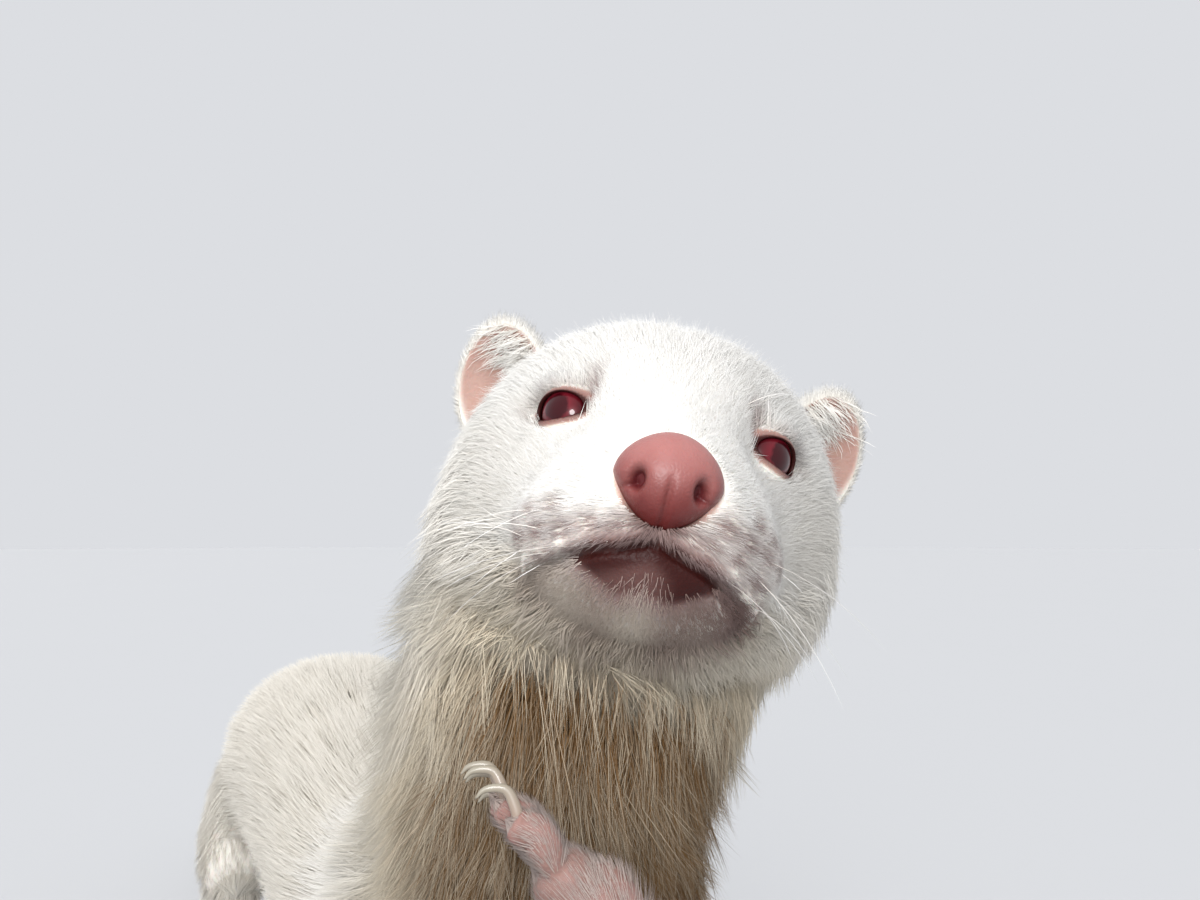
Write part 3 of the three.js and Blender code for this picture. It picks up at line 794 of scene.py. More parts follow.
# The hide is pink where it is bare and takes the tint of the hair where it is not, with fine
# creases all over. It is painted dark as shade in the line of the mouth, at the edges of the lids
# and under the nose. Light goes a little way into it.
class Shade:
    """One value in a finish; sums on it add Math nodes to the same tree."""

    def __init__(self, tree, socket=None):
        self.tree = tree
        self.socket = socket

    def add(self, kind, settings=None, values=None, out=0):
        node = self.tree.nodes.new("ShaderNode" + kind)
        for name, value in (settings or {}).items():
            if name == "stops":
                ramp = node.color_ramp.elements
                while len(ramp) < len(value):
                    ramp.new(1)
                for stop, (place, colour) in zip(ramp, value):
                    stop.position = place
                    stop.color = (*colour, 1)
            else:
                setattr(node, name, value)
        for name, value in (values or {}).items():
            if isinstance(value, Shade):
                self.tree.links.new(value.socket, node.inputs[name])
            elif isinstance(value, tuple) and node.inputs[name].type == "RGBA":
                node.inputs[name].default_value = (*value, 1)
            else:
                node.inputs[name].default_value = value
        return Shade(self.tree, node.outputs[out])

    def maths(self, operation, a, b):
        return self.add("Math", {"operation": operation}, {0: a, 1: b})

    def __add__(self, other):
        return self.maths("ADD", self, other)

    def __mul__(self, other):
        return self.maths("MULTIPLY", self, other)

    def __sub__(self, other):
        return self.maths("SUBTRACT", self, other)

    def __rsub__(self, other):
        return self.maths("SUBTRACT", other, self)

    def __pow__(self, other):
        return self.maths("POWER", self, other)

    __radd__ = __add__
    __rmul__ = __mul__

    def attribute(self, name):
        return self.add("Attribute", {"attribute_name": name}, out="Fac")

    def noise(self, scale):
        place = self.add("TexCoord", out="Object")
        return self.add("TexNoise", values={"Vector": place, "Scale": scale, "Detail": 3.0})

    def cells(self, scale):
        """Distance from the walls of small cells."""
        place = self.add("TexCoord", out="Object")
        settings = {"feature": "DISTANCE_TO_EDGE"}
        return self.add("TexVoronoi", settings, {"Vector": place, "Scale": scale})

    def mix(self, share, low, high, blend="MIX"):
        """Two colours mixed by a share."""
        settings = {"data_type": "RGBA", "blend_type": blend}
        return self.add("Mix", settings, {"Factor": share, 6: low, 7: high}, out=2)


def new_finish(name):
    """A new material and the start of its expressions."""
    finish = bpy.data.materials.new(name)
    finish.use_nodes = True
    return finish, Shade(finish.node_tree)


def feed(finish, values):
    """Links expressions to the shader of a material, and sets numbers on its sockets."""
    tree = finish.node_tree
    for name, value in values.items():
        socket = tree.nodes["Principled BSDF"].inputs[name]
        if isinstance(value, Shade):
            tree.links.new(value.socket, socket)
        else:
            socket.default_value = value


COVERED_HIDE = (0.88, 0.83, 0.75)
PINK_HIDE = ((0.38, 0.21, 0.175), (0.5, 0.34, 0.285))
MAUVE_HIDE = (0.14, 0.07, 0.065)
# The near-black of the painted shade in the mouth, at the lids and under the nose.
DEEP_HIDE = (0.03, 0.006, 0.005)
OCHRE = (0.17, 0.095, 0.04)
hide, start = new_finish("hide")
# The covered hide turns ochre with the throat's stain and the painted shade under the chin.
covered = start.mix(start.attribute("warmth") ** 2, COVERED_HIDE, OCHRE)
pink = start.mix(start.noise(180.0), *PINK_HIDE)
colour = start.mix(start.attribute("bare"), covered, pink)
colour = start.mix(start.attribute("mauve") * 0.9, colour, MAUVE_HIDE)
# Painted shade at the mouth, the lids and the nose.
colour = start.mix(start.attribute("deep"), colour, DEEP_HIDE)
grain = start.noise(2600.0) + start.cells(900.0)
bump = start.add("Bump", values={"Strength": 0.35, "Distance": 0.0003, "Height": grain})
feed(hide, {
    "Base Color": colour,
    "Roughness": 0.62 - start.attribute("bare") * 0.17,
    "Specular IOR Level": 0.15,
    "Normal": bump,
    "Subsurface Weight": 0.15,
    "Subsurface Scale": 0.002,
})
skin.data.materials.clear()
skin.data.materials.append(hide)
skin.data.polygons.foreach_set("material_index", np.zeros(len(skin.data.polygons), np.int32))
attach(skin, "root")
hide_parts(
    "head", "neck", "torso_front", "torso_rear", "tail_root", "tail_end", "ear_left"
)
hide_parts("ear_right", *LEGS, *PAWS)


# The two eyes are wet ruby balls, round and bulging, each held in its socket by the lids. The
# iris is a dark ring of fine rays, and the pupil shows deep red because no pigment backs it.
# Each stop: share of a quarter turn out from the middle of the pupil, and colour.
IRIS_STOPS = (
    (0.0, (0.03, 0.0, 0.002)),
    (0.26, (0.03, 0.0, 0.002)),
    (0.32, (0.11, 0.006, 0.012)),
    (0.5, (0.06, 0.003, 0.006)),
    (0.62, (0.02, 0.0, 0.001)),
    (0.8, (0.1, 0.012, 0.016)),
)
for side, name in ((1, "left"), (-1, "right")):
    eye = shaped_ball(
        "eyeball_" + name, 64, 48, lambda s, a: in_eye_place(ball(s, a) * EYE_RADIUS, side)
    )
    bpy.ops.object.shade_smooth()
    ahead = -in_eye_frame(millimetres(coordinates(eye)), side)[:, 1] / EYE_RADIUS
    mark(eye, "out", np.degrees(np.arccos(np.clip(ahead, -1, 1))) / 90)
    ruby, start = new_finish("ruby_" + name)
    rays = start.noise(1400.0)
    ring = start.attribute("out") + rays * 0.12 - 0.06
    colour = start.add("ValToRGB", {"stops": IRIS_STOPS}, {"Fac": ring})
    feed(ruby, {
        "Base Color": colour,
        "Roughness": 0.25 + rays * 0.1,
        "Specular IOR Level": 0.15,
        "Coat Weight": 0.8,
        "Coat Roughness": 0.02,
        "Coat IOR": 1.36,
    })
    eye.data.materials.append(ruby)
    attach(eye, "root")
    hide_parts("eye_" + name)


# The nose is a bare, moist pad of pebbled skin, set in the end of the muzzle. Two comma-shaped
# nostrils open forwards and run into slits at the sides, and a groove parts it in the middle.
NOSE_PAD = (6.3, 5.2, 5.6)
PAD_BACK = 0.2
PAD_DOWN = 0.3
NOSTRIL_AT = (3.75, -0.9)
NOSTRIL_HALF = (0.78, 1.15)
NOSTRIL_DEEP = 2.2


def nose_form(s, angle):
    wide, deep, high = NOSE_PAD
    unit = ball(s, angle)
    x, y, z = unit.T
    taper = np.where(z < 0, 1 + 0.3 * z, 1 - 0.12 * z * z)
    px, py, pz = x * wide * taper, y * deep + deep - PAD_BACK, z * high - PAD_DOWN
    inward = 0.5 * hill(px, 0, 0.45) * rise(-pz, -1, 2)
    for side in (1, -1):
        sx = side * px
        across = (sx - NOSTRIL_AT[0]) / NOSTRIL_HALF[0]
        hole = np.exp(-(across**2) - ((pz - NOSTRIL_AT[1]) / NOSTRIL_HALF[1]) ** 2)
        slit = rise(sx, 3.8, 4.4) * fade(sx, 4.7, 5.4)
        slit = slit * hill(pz + 0.45 * (sx - 3.9), -1.4, 0.3)
        inward = inward + NOSTRIL_DEEP * np.clip(hole * 1.5, 0, 1) * (y < 0.3)
        inward = inward + 0.4 * slit * (y < 0.4)
    return np.stack((px - inward * x * 0.5, py + inward * 0.85, pz - inward * z * 0.3), 1)


nose = shaped_ball("nose_pad", 200, 130, lambda s, a: from_head(nose_form(s, a)))
bpy.ops.object.shade_smooth()
x, y, z = to_head(millimetres(coordinates(nose))).T
wide, deep, high = NOSE_PAD
# Painted shade: the skin inside the nostrils and their slits is painted near black.
unit_y = (y - deep + PAD_BACK) / deep
full = -np.sqrt(np.clip(1 - (x / wide) ** 2 - ((z + PAD_DOWN) / high) ** 2, 0, 1))
mark(nose, "hollow", rise(unit_y - full, 0.16, 0.42) * (y < 7))
# Painted light: the pad is lighter towards its top and darker below, as light from above falls on
# it.
mark(nose, "high", rise(z, -5.4, 5))
leather, start = new_finish("nose_leather")
pebbles = start.cells(1900.0)
# Painted light from above, with random tone.
painted_light_and_tone = start.attribute("high") + start.noise(420.0) * 0.3 - 0.15
colour = start.mix(painted_light_and_tone, (0.1, 0.006, 0.005), (0.3, 0.12, 0.11))
# Painted shade in the nostrils.
colour = start.mix(start.attribute("hollow") * 0.95, colour, (0.08, 0.008, 0.01))
bump = start.add("Bump", values={"Strength": 0.35, "Distance": 0.0002, "Height": pebbles})
feed(leather, {
    "Base Color": colour,
    "Roughness": 0.45 + pebbles * 0.3,
    "Normal": bump,
    "Specular IOR Level": 0.35,
    "Coat Weight": 0.15,
    "Coat Roughness": 0.35,
    "Subsurface Weight": 0.1,
    "Subsurface Scale": 0.0015,
})
nose.data.materials.append(leather)
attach(nose, "root")
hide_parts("nose")


# Five curved claws of pale horn on each foot, growing out of the ends of the toes. They are
# thick at the root, hooked and pointed, and a little pink shows through them.
horn, start = new_finish("horn")
streak = start.noise(900.0)
colour = start.mix(start.attribute("claw"), (0.28, 0.19, 0.15), (0.27, 0.245, 0.19))
colour = start.mix(streak * 0.4, colour, (0.2, 0.17, 0.13))
feed(horn, {"Base Color": colour, "Roughness": 0.3 + streak * 0.15, "Coat Weight": 0.2})


def claw_form(n, claw, hook, splay, **paw):
    x, y = toe_tip(n, splay=splay, **paw)[:2]
    fan, top = splay * n, 4.3
    rows = (
        (x - fan, y + 1.5, 3.2, 0.7, 0.7, 0.7),
        (x + fan * claw * 0.3, y - claw * 0.3, 4.0, 0.5, 0.62, 0.62),
        (x + fan * claw * 0.66, y - claw * 0.68, 3.9, 0.4, 0.52, 0.52),
        (x + fan * claw * 0.93, y - claw * 0.95, top - 0.6 * hook, 0.26, 0.34, 0.34),
        (x + fan * claw, y - claw * 0.9, top - hook, 0.08, 0.08, 0.08),
    )
    return form_along(rows, 0.12, 0.06)


for name, (paw, placed) in PAWS.items():
    claws = []
    for n in TOES:
        form = claw_form(n, **paw)
        claws.append(shaped_ball(name, 14, 16, lambda s, a: placed(form(s, a))))
        root = placed(np.array([toe_tip(n, **paw)]))[0]
        far = length_of(millimetres(coordinates(claws[-1])) - root)[:, 0]
        mark(claws[-1], "claw", np.clip(far / paw["claw"], 0, 1))
    only(*claws)
    bpy.ops.object.join()
    bpy.ops.object.shade_smooth()
    claws = bpy.context.object
    claws.name = "claws_" + name
    claws.data.materials.append(horn)
    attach(claws, "root")


# The coat grows from the skin in thousands of fine tufts, cream-white with an ochre stain on the
# throat, darkened further as painted shade under the chin. It is short and lies flat back along
# the face, longer and ragged on cheeks and throat.
WHITE_HAIR = (0.95, 0.945, 0.925)
CREAM_HAIR = (0.91, 0.83, 0.67)
MAUVE_HAIR = (0.19, 0.105, 0.1)
CLEAR = (1.0, 1.0, 1.0)
rng = np.random.default_rng(5)


def corners(face):
    """The corners of a face from the first vertex on, the same on each run."""
    found = list(face.vertices)
    first = found.index(min(found))
    return found[first:] + found[:first]


tree = BVHTree.FromPolygons(
    coordinates(skin).tolist(), sorted(corners(face) for face in skin.data.polygons)
)

hair, start = new_finish("hair")
patch = start.noise(55.0)
along = start.attribute("along")
warm = start.attribute("warmth")
own = start.attribute("own")
# The ochre of the throat's stain and of the painted shade under the chin, strongest at the roots.
stain_and_painted_shade = warm**2 * (0.35 + patch * 0.8 + own * 0.9) * (1.15 - along * 0.55)
colour = start.mix(warm * 1.8, WHITE_HAIR, CREAM_HAIR)
colour = start.mix(stain_and_painted_shade, colour, OCHRE)
colour = start.mix(start.attribute("mauve") * 0.9, colour, MAUVE_HAIR)
dark_root = start.mix(along, (0.86, 0.83, 0.79), CLEAR)
colour = start.mix(1.0, colour, dark_root, "MULTIPLY")
dark_tuft = start.mix(own, (0.8, 0.79, 0.77), CLEAR)
colour = start.mix(1.0, colour, dark_tuft, "MULTIPLY")
feed(hair, {"Base Color": colour, "Roughness": 0.5 + own * 0.2, "Specular IOR Level": 0.12})
STEP = 1e-3
NEAR_EYE = 6
OFF_SKIN = 1.1


def over_skin(point):
    """The nearest place on the skin, the normal there, and the height of the point over it."""
    at, normal = tree.find_nearest(point)[:2]
    return at, normal, (Vector(point) - at).dot(normal)


def scatter(form, coat, count, density, low=0.0, high=1.0):
    """Places on a form of the body for a number of tufts, crowded as density says. Those whose
    roots would stand off the skin, or lie deep in it away from the neck's join, are left out."""
    found = np.empty((0, 2))
    while len(found) < count:
        s = rng.uniform(low, high, 3 * count)
        angle = rng.uniform(-math.pi, math.pi, 3 * count)
        along = form(s + STEP, angle) - form(s - STEP, angle)
        across = form(s, angle + STEP) - form(s, angle - STEP)
        roots = form(s, angle, -coat(s, angle))
        chance = np.linalg.norm(np.cross(along, across), axis=1) * density(roots)
        chance /= np.quantile(chance, 0.995)
        kept = rng.random(len(s)) < chance
        found = np.concatenate((found, np.stack((s, angle), 1)[kept]))
    s, angle = found[:count].T
    roots = metres(form(s, angle, -coat(s, angle)))
    height = np.array([over_skin(root)[2] for root in roots.tolist()]) * 1000
    roots = millimetres(roots)
    y, z = to_head(roots).T[1:]
    sunk = OFF_SKIN + 4 * np.maximum(rise(y, 56, 64), rise(-z, 32, 38))
    shown = ((height < OFF_SKIN) & (height > -sunk)) | (np.abs(lid_ring(roots)) < NEAR_EYE)
    return s[shown], angle[shown]


def comb(form, coat, s, angle, length, lift, swirl=0.0, stations=3):
    """Paths of tufts that lie back along a form, with their tips a little above it."""
    speed = length_of(form(s + STEP, angle) - form(s - STEP, angle))[:, 0] / (2 * STEP)
    reach = length / np.maximum(speed, 0.5 * np.median(speed))
    depth = coat(s, angle) + 0.25
    paths = []
    for t in np.linspace(0, 1, stations):
        height = -depth + (depth + lift) * t**0.75
        paths.append(metres(form(s + reach * t, angle + swirl * t * t, height)))
    return np.stack(paths, 1)


def gather(paths, share, pull, stray):
    """Draws the tips of neighbouring tufts together into pointed locks that stray a little."""
    guides = rng.choice(len(paths), max(1, int(len(paths) * share)), replace=False)
    nearest = KDTree(len(guides))
    for k, g in enumerate(guides):
        nearest.insert(paths[g, 0].tolist(), k)
    nearest.balance()
    own = guides[[nearest.find(root)[1] for root in paths[:, 0].tolist()]]
    bent = paths.copy()
    t = np.linspace(0, 1, paths.shape[1])[None, :, None] ** 1.4
    stray = np.broadcast_to(stray, len(paths))[guides, None, None] / 1000
    bent[guides] += rng.normal(0, 1, (len(guides), 1, 3)) * t * stray
    pull = np.broadcast_to(pull, len(paths))[:, None, None]
    return paths + (bent[own] - paths) * t * pull


def lift_clear(paths, least):
    """Keeps the tufts out of whatever skin they would pass through."""
    stations = paths.shape[1]
    least = np.broadcast_to(least, len(paths)) / 1000
    for k in range(1, stations):
        share = k / (stations - 1)
        for i, point in enumerate(paths[:, k].tolist()):
            at, normal, height = over_skin(point)
            if height < least[i] * share:
                paths[i, k] = at + normal * (least[i] * share)
    return paths


LIGHT_SIDE = np.array((-0.3, -0.5, 0.8))


def into_scene(name, data):
    made = bpy.data.objects.new(name, data)
    bpy.context.scene.collection.objects.link(made)
    return made


def coat_piece(name, paths, width, unwrap, finish=hair, lit=0.0):
    """Closed three-sided tapered tufts on the paths, joined in one mesh. Their normals follow the
    skin's, so that the coat is shaded as a whole, and lean to the light side by lit."""
    count, stations = paths.shape[:2]
    width = np.broadcast_to(width, count) / 1000 * rng.uniform(0.7, 1.3, count)
    course = paths[:, -1] - paths[:, 0]
    course /= length_of(course)
    side = np.cross(course, rng.normal(size=(count, 3)))
    side /= length_of(side)
    other = np.cross(course, side)
    off_skin = np.array([tree.find_nearest(root)[1] for root in paths[:, 0].tolist()])
    points, shine = [], []
    for k in range(stations - 1):
        thick = width * 0.5 * (1 - 0.35 * k / (stations - 1))
        for turn in range(3):
            a = turn * 2 * math.pi / 3
            around = side * math.cos(a) + other * math.sin(a)
            points.append(paths[:, k] + around * thick[:, None])
            shine.append(off_skin + 0.6 * around + lit * LIGHT_SIDE)
    points = np.stack([*points, paths[:, -1]], 1)
    points[:, :, 2] = np.maximum(points[:, :, 2], 1e-4)
    shine = np.stack([*shine, off_skin], 1).reshape(-1, 3)
    each = points.shape[1]
    faces = [(0, 2, 1)]
    last = 3 * (stations - 2)
    for low in range(0, last, 3):
        high = low + 3
        for a, b in ((0, 1), (1, 2), (2, 0)):
            faces += [(low + a, low + b, high + b), (low + a, high + b, high + a)]
    faces += [(last + a, last + b, each - 1) for a, b in ((0, 1), (1, 2), (2, 0))]
    faces = (np.arange(count)[:, None, None] * each + np.array(faces)).reshape(-1, 3)
    mesh = bpy.data.meshes.new(name)
    mesh.vertices.add(count * each)
    mesh.vertices.foreach_set("co", points.ravel())
    mesh.loops.add(faces.size)
    mesh.loops.foreach_set("vertex_index", faces.ravel().astype(np.int32))
    mesh.polygons.add(len(faces))
    mesh.polygons.foreach_set("loop_start", np.arange(0, faces.size, 3, dtype=np.int32))
    mesh.polygons.foreach_set("use_smooth", np.ones(len(faces), bool))
    mesh.update(calc_edges=True)
    mesh.normals_split_custom_set_from_vertices(shine / length_of(shine))
    t = np.array([k // 3 for k in range(each - 1)] + [stations - 1]) / (stations - 1)
    spot = np.stack((np.arange(each) % 3 - 1.0, t * 2 - 1), 1) * 0.0014
    flat = (unwrap[:, None, :] * 0.96 + 0.02 + spot).reshape(-1, 2)
    baked = mesh.uv_layers.new(name="OFBake")
    baked.data.foreach_set("uv", flat[faces.ravel()].ravel())
    piece = into_scene(name, mesh)
    mark(piece, "along", np.tile(t, count))
    mark(piece, "own", np.repeat(rng.random(count), each))
    root = millimetres(paths[:, 0])
    mark(piece, "warmth", np.repeat(warmth(root), each))
    # Mauve of the hair: whisker spots, and painted shade round the lips, over the lids and on the
    # lifted paw, where dirt is painted too.
    round_eyes = 0.5 * fade(lid_ring(root), 0.8, 3.6)
    mauve = np.maximum.reduce((whisker_bed(root), near_lips(root), paw_tint(root), round_eyes))
    mark(piece, "mauve", np.repeat(mauve, each))
    mesh.materials.append(finish)
    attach(piece, "root")


def unwrapped(s, angle):
    """Places of tufts on the flat, round the form and along it."""
    return np.stack((angle / (2 * math.pi) + 0.5, s), 1)


def head_at(s, angle, grow=0):
    return from_head(head_form(s, angle, grow))


def seat_on_lids(paths, s, angle):
    """Carries the tufts near an eye out to the lid over them, and drops those in its opening."""
    outside = metres(head_at(s, angle, 8))
    near = np.abs(lid_ring(millimetres(paths[:, 0]))) < NEAR_EYE
    for i in np.flatnonzero(near):
        way = paths[i, 0] - outside[i]
        hit = tree.ray_cast(outside[i].tolist(), way.tolist())[0]
        if hit is not None:
            paths[i] += np.array(hit) - paths[i, 0]
    root, tip = (lid_ring(millimetres(paths[:, k])) for k in (0, -1))
    return (root > rng.uniform(0.8, 1.6, len(paths))) & (tip > 0.4)


def on_face(points):
    """Where hair grows on the head, and how much more of it on the face."""
    x, y, z = to_head(points).T
    down = mouth_height(x, y) - z
    clear = rise(lip_line(points), 0.2, np.where(down > 0.8, 3, 0.8))
    clear = np.maximum(clear, 0.6 * rise(down, 2.2, 6.5) * (z > -26))
    clear *= (nose_reach(points) > 5.3) * (1 - 0.5 * whisker_bed(points))
    return clear * (0.55 + 2.6 * fade(y, 14, 44))


HEAD_TUFTS = 99000
FACE_HAIR = 0.115
RUFF_HAIR = 0.16
s, angle = scatter(head_at, head_coat, HEAD_TUFTS, on_face, high=0.995)
back = spline(HEAD_ROWS, s)[:, 0]
far_down = rise(-np.sin(angle), 0, 0.7)
long_hair = np.maximum(rise(back, 30, 46), far_down * rise(back, 12, 22))
short = rng.random(len(s)) > long_hair
face = s[short], angle[short]
length = (2 + 5 * rise(back[short], 10, 46)) * rng.uniform(0.7, 1.3, short.sum())
roots = from_head(head_form(*face, -head_coat(*face)))
length *= 0.4 + 0.6 * rise(lid_ring(roots), 0.5, 5)
length *= 0.5 + 0.5 * rise(lip_line(roots), 0.5, 4)
lift = (0.05 + 0.6 * rise(back[short], 12, 46)) * rng.uniform(0, 1.6, short.sum())
stray = (rng.random(short.sum()) < 0.2) * rise(back[short], 14, 30)
lift += rng.uniform(0.3, 2, short.sum()) * stray
swirl = rng.normal(0, 0.05, short.sum()) - 0.2 * np.cos(face[1]) * rise(back[short], 22, 60)
paths = comb(head_at, head_coat, *face, length, lift, swirl, stations=2)
kept = seat_on_lids(paths, *face)
tips = millimetres(paths[:, -1])
x, y, z = to_head(tips).T
kept &= lip_line(tips) > rng.uniform(-2, 1.4, len(tips)) * (z < mouth_height(x, y) - 0.5)
paths, back_here = gather(paths[kept], 0.1, 0.2, 0), back[short][kept]
face = face[0][kept], face[1][kept]
paths = lift_clear(paths, 0.22 + 0.7 * head_coat(*face))
zones = {
    "coat_muzzle": back_here < 17,
    "coat_brow": (back_here >= 17) & (back_here < 31),
    "coat_temples": back_here >= 31,
}
for name, zone in zones.items():
    coat_piece(name, paths[zone], FACE_HAIR, unwrapped(*face)[zone])


# Behind the jaw and on the cheeks the hair is longer. It stands off the skin, hangs in a ruff and
# is drawn into loose locks.
ruff = ~short & (rng.random(len(s)) < 0.75)
s, angle, back, far_down = s[ruff], angle[ruff], back[ruff], far_down[ruff]
hang = np.maximum(rise(back, 36, 58), 0.8 * rise(back, 12, 26))
hang *= 0.2 + 0.8 * rise(-np.sin(angle), -0.3, 0.5)
hang *= 1 - 0.6 * rise(np.cos(angle), 0.1, 0.7)
hang = np.maximum(hang, rise(s, 0.84, 0.93))
low = rise(-np.sin(angle), -0.5, 0.2)
length = (5.5 + 4 * rise(back, 14, 60) * (0.4 + 0.6 * low)) * (1 + 0.45 * hang)
length *= rng.uniform(0.65, 1.3, len(s))
lift = (0.3 + hang) * rng.uniform(-0.5, 1.8, len(s))
swirl = rng.normal(0, 0.07, len(s)) - 0.3 * np.cos(angle) * rise(back, 22, 60)
paths = comb(head_at, head_coat, s, angle, length, lift, swirl)
outward = from_head(head_form(s, angle, 1)) - from_head(head_form(s, angle))
reach = 0.5 * hang * length * rng.uniform(0.2, 1.4, len(s))
fall = (outward + np.array((0, 0.1, -0.9))) * reach[:, None]
t = np.linspace(0, 1, paths.shape[1])[None, :, None]
paths = paths + fall[:, None, :] / 1000 * t**1.2
paths = gather(paths, 0.09, 0.25 + 0.25 * low, 0.4 + 1.2 * low)
paths = lift_clear(paths, 0.25 + 0.8 * head_coat(s, angle))
chin = (np.sin(angle) < 0) & (back < 50)
for name, zone, lit in (("coat_chin", chin, 0.3), ("coat_cheeks", ~chin, 0.9)):
    coat_piece(name, paths[zone], RUFF_HAIR, unwrapped(s, angle)[zone], lit=lit)


# On the neck and trunk the coat is long, soft guard hair over dense down, raked towards the
# tail and parted into ragged locks on the throat and shoulders.
def on_trunk(points):
    nape = rise(points[:, 2] - 0.75 * points[:, 1], 8, 36)
    return 0.28 + 1.3 * nape


def trunk_tufts(count, low, high, stations, zones):
    """The coat of one length of the trunk, in pieces by zone."""
    s, angle = scatter(trunk_form, trunk_coat, count, on_trunk, low, high)
    neck = fade(s, 0.3, 0.46)
    length = (14.5 - 4 * neck) * rng.uniform(0.6, 1.35, len(s))
    lift = (0.6 + 0.9 * neck) * rng.uniform(-0.8, 1.6, len(s))
    lift -= 5 * rise(np.cos(angle), 0, 0.6) * neck * (np.sin(angle) < 0.4)
    lift -= 3.5 * fade(s, 0.04, 0.16)
    lift += 4 * hill(s, 0.33, 0.06) * rise(np.sin(angle), 0.2, 0.8)
    swirl = rng.normal(0, 0.07, len(s))
    paths = comb(trunk_form, trunk_coat, s, angle, length, lift, swirl, stations)
    stray = np.maximum(1.3 + 2.5 * neck - 3 * fade(s, 0.06, 0.2), 0)
    paths = gather(paths, 0.05 + 0.03 * (high < 0.5), 0.35 + 0.15 * neck, stray)
    paths = lift_clear(paths, 0.4 * trunk_coat(s, angle))
    width = 0.4 - (0.29 if stations == 2 else 0.26) * neck
    for name, zone in zones(s, np.sin(angle) > 0).items():
        lit = 0.5 * (s[zone].mean() > 0.4)
        coat_piece(name, paths[zone], width[zone], unwrapped(s, angle)[zone], lit=lit)


trunk_tufts(24000, 0.02, 0.4, 3, lambda s, upper: {
    "coat_nape": upper,
    "coat_throat": ~upper,
})
trunk_tufts(50000, 0.02, 0.4, 2, lambda s, upper: {
    "coat_nape_down": upper,
    "coat_throat_down": ~upper,
})
trunk_tufts(64000, 0.37, 0.985, 2, lambda s, upper: {
    "coat_withers": upper & (s < 0.56),
    "coat_chest": ~upper & (s < 0.56),
    "coat_loin": (s >= 0.56) & (s < 0.78),
    "coat_rump": s >= 0.78,
})


# The tail is a full brush of the same long hair, raked back along it and drawn into locks. It
# grows shorter towards the tip.
TAIL_TUFTS = 8000
TAIL_HAIR = 0.5
TAIL_HAIR_LONG = 20


def evenly(points):
    return np.ones(len(points))


s, angle = scatter(tail_form, tail_coat, TAIL_TUFTS, evenly, 0.03, 0.99)
length = TAIL_HAIR_LONG * rng.uniform(0.7, 1.2, len(s)) * (1 - 0.45 * rise(s, 0.6, 1))
lift = rng.uniform(-1, 2, len(s))
swirl = rng.normal(0, 0.2, len(s))
paths = comb(tail_form, tail_coat, s, angle, length, lift, swirl)
paths = lift_clear(gather(paths, 0.06, 0.4, 1), 3)
coat_piece("coat_tail", paths, TAIL_HAIR, unwrapped(s, angle), lit=0.5)


# The legs have a close coat, long where it comes out of the coat of the body and short below. It
# is finest on the lifted forearm.
THIGH_TUFTS = 7500
SHANK_TUFTS = 3800
FOREARM_TUFTS = 9000
limb_paths, limb_places, limb_widths = [], [], []
for lengths in LEGS.values():
    for k, form in enumerate(lengths):
        coat = leg_coat(k)
        lifted = form is LEGS["foreleg_right"][1]
        many = FOREARM_TUFTS if lifted else THIGH_TUFTS if k == 0 else SHANK_TUFTS
        s, angle = scatter(form, coat, many, evenly, 0.05, 0.97)
        high_up = fade(s, 0.1, 0.8)
        length = (5 + 7 * high_up) * (0.6 if lifted else 1) * rng.uniform(0.7, 1.3, len(s))
        lift = rng.uniform(-0.2, 1.6 - 0.8 * lifted, len(s))
        swirl = rng.normal(0, 0.1, len(s))
        limb_paths.append(comb(form, coat, s, angle, length, lift, swirl, stations=2))
        limb_widths.append((0.2 + 0.18 * high_up) * (0.6 if lifted else 1))
        row, column = divmod(len(limb_places), 4)
        limb_places.append((unwrapped(s, angle) + (column, row)) / 4)
paths = lift_clear(gather(np.concatenate(limb_paths), 0.08, 0.3, 0.6), 1)
widths, places = np.concatenate(limb_widths), np.concatenate(limb_places)
coat_piece("coat_legs", paths, widths, places, lit=0.4)


# The feet have the shortest hair, fine and flat along palms and toes. It leaves the pads that
# stand on the floor almost bare.
PALM_TUFTS = 3400
TOE_TUFTS = 760
FOOT_HAIR = 0.12


def off_pads(points):
    return np.maximum(0.05, rise(points[:, 2], 2.2, 4))


def paw_coat(s, angle):
    return np.full(len(s), PAW_COAT)


foot_paths, foot_places = [], []
for paw, placed in PAWS.values():
    for k, form in enumerate(foot_forms(paw)):
        on_foot = lambda s, a, grow=0: placed(form(s, a, grow))
        many = PALM_TUFTS if k == 0 else TOE_TUFTS
        s, angle = scatter(on_foot, paw_coat, many, off_pads, 0.04, 0.9)
        length = rng.uniform(2, 3.6, len(s))
        lift = rng.uniform(0, 0.5, len(s))
        foot_paths.append(comb(on_foot, paw_coat, s, angle, length, lift, stations=2))
        row, column = divmod(len(foot_places), 5)
        foot_places.append((unwrapped(s, angle) + (column, row)) / 5)
paths = lift_clear(np.concatenate(foot_paths), 0.2)
coat_piece("coat_feet", paths, FOOT_HAIR, np.concatenate(foot_places), lit=0.3)


# Fine white hair covers the backs and rims of the ears, and a longer fringe grows from their
# inner edges across the cups, which are otherwise bare and pink.
EAR_HAIR = 0.11


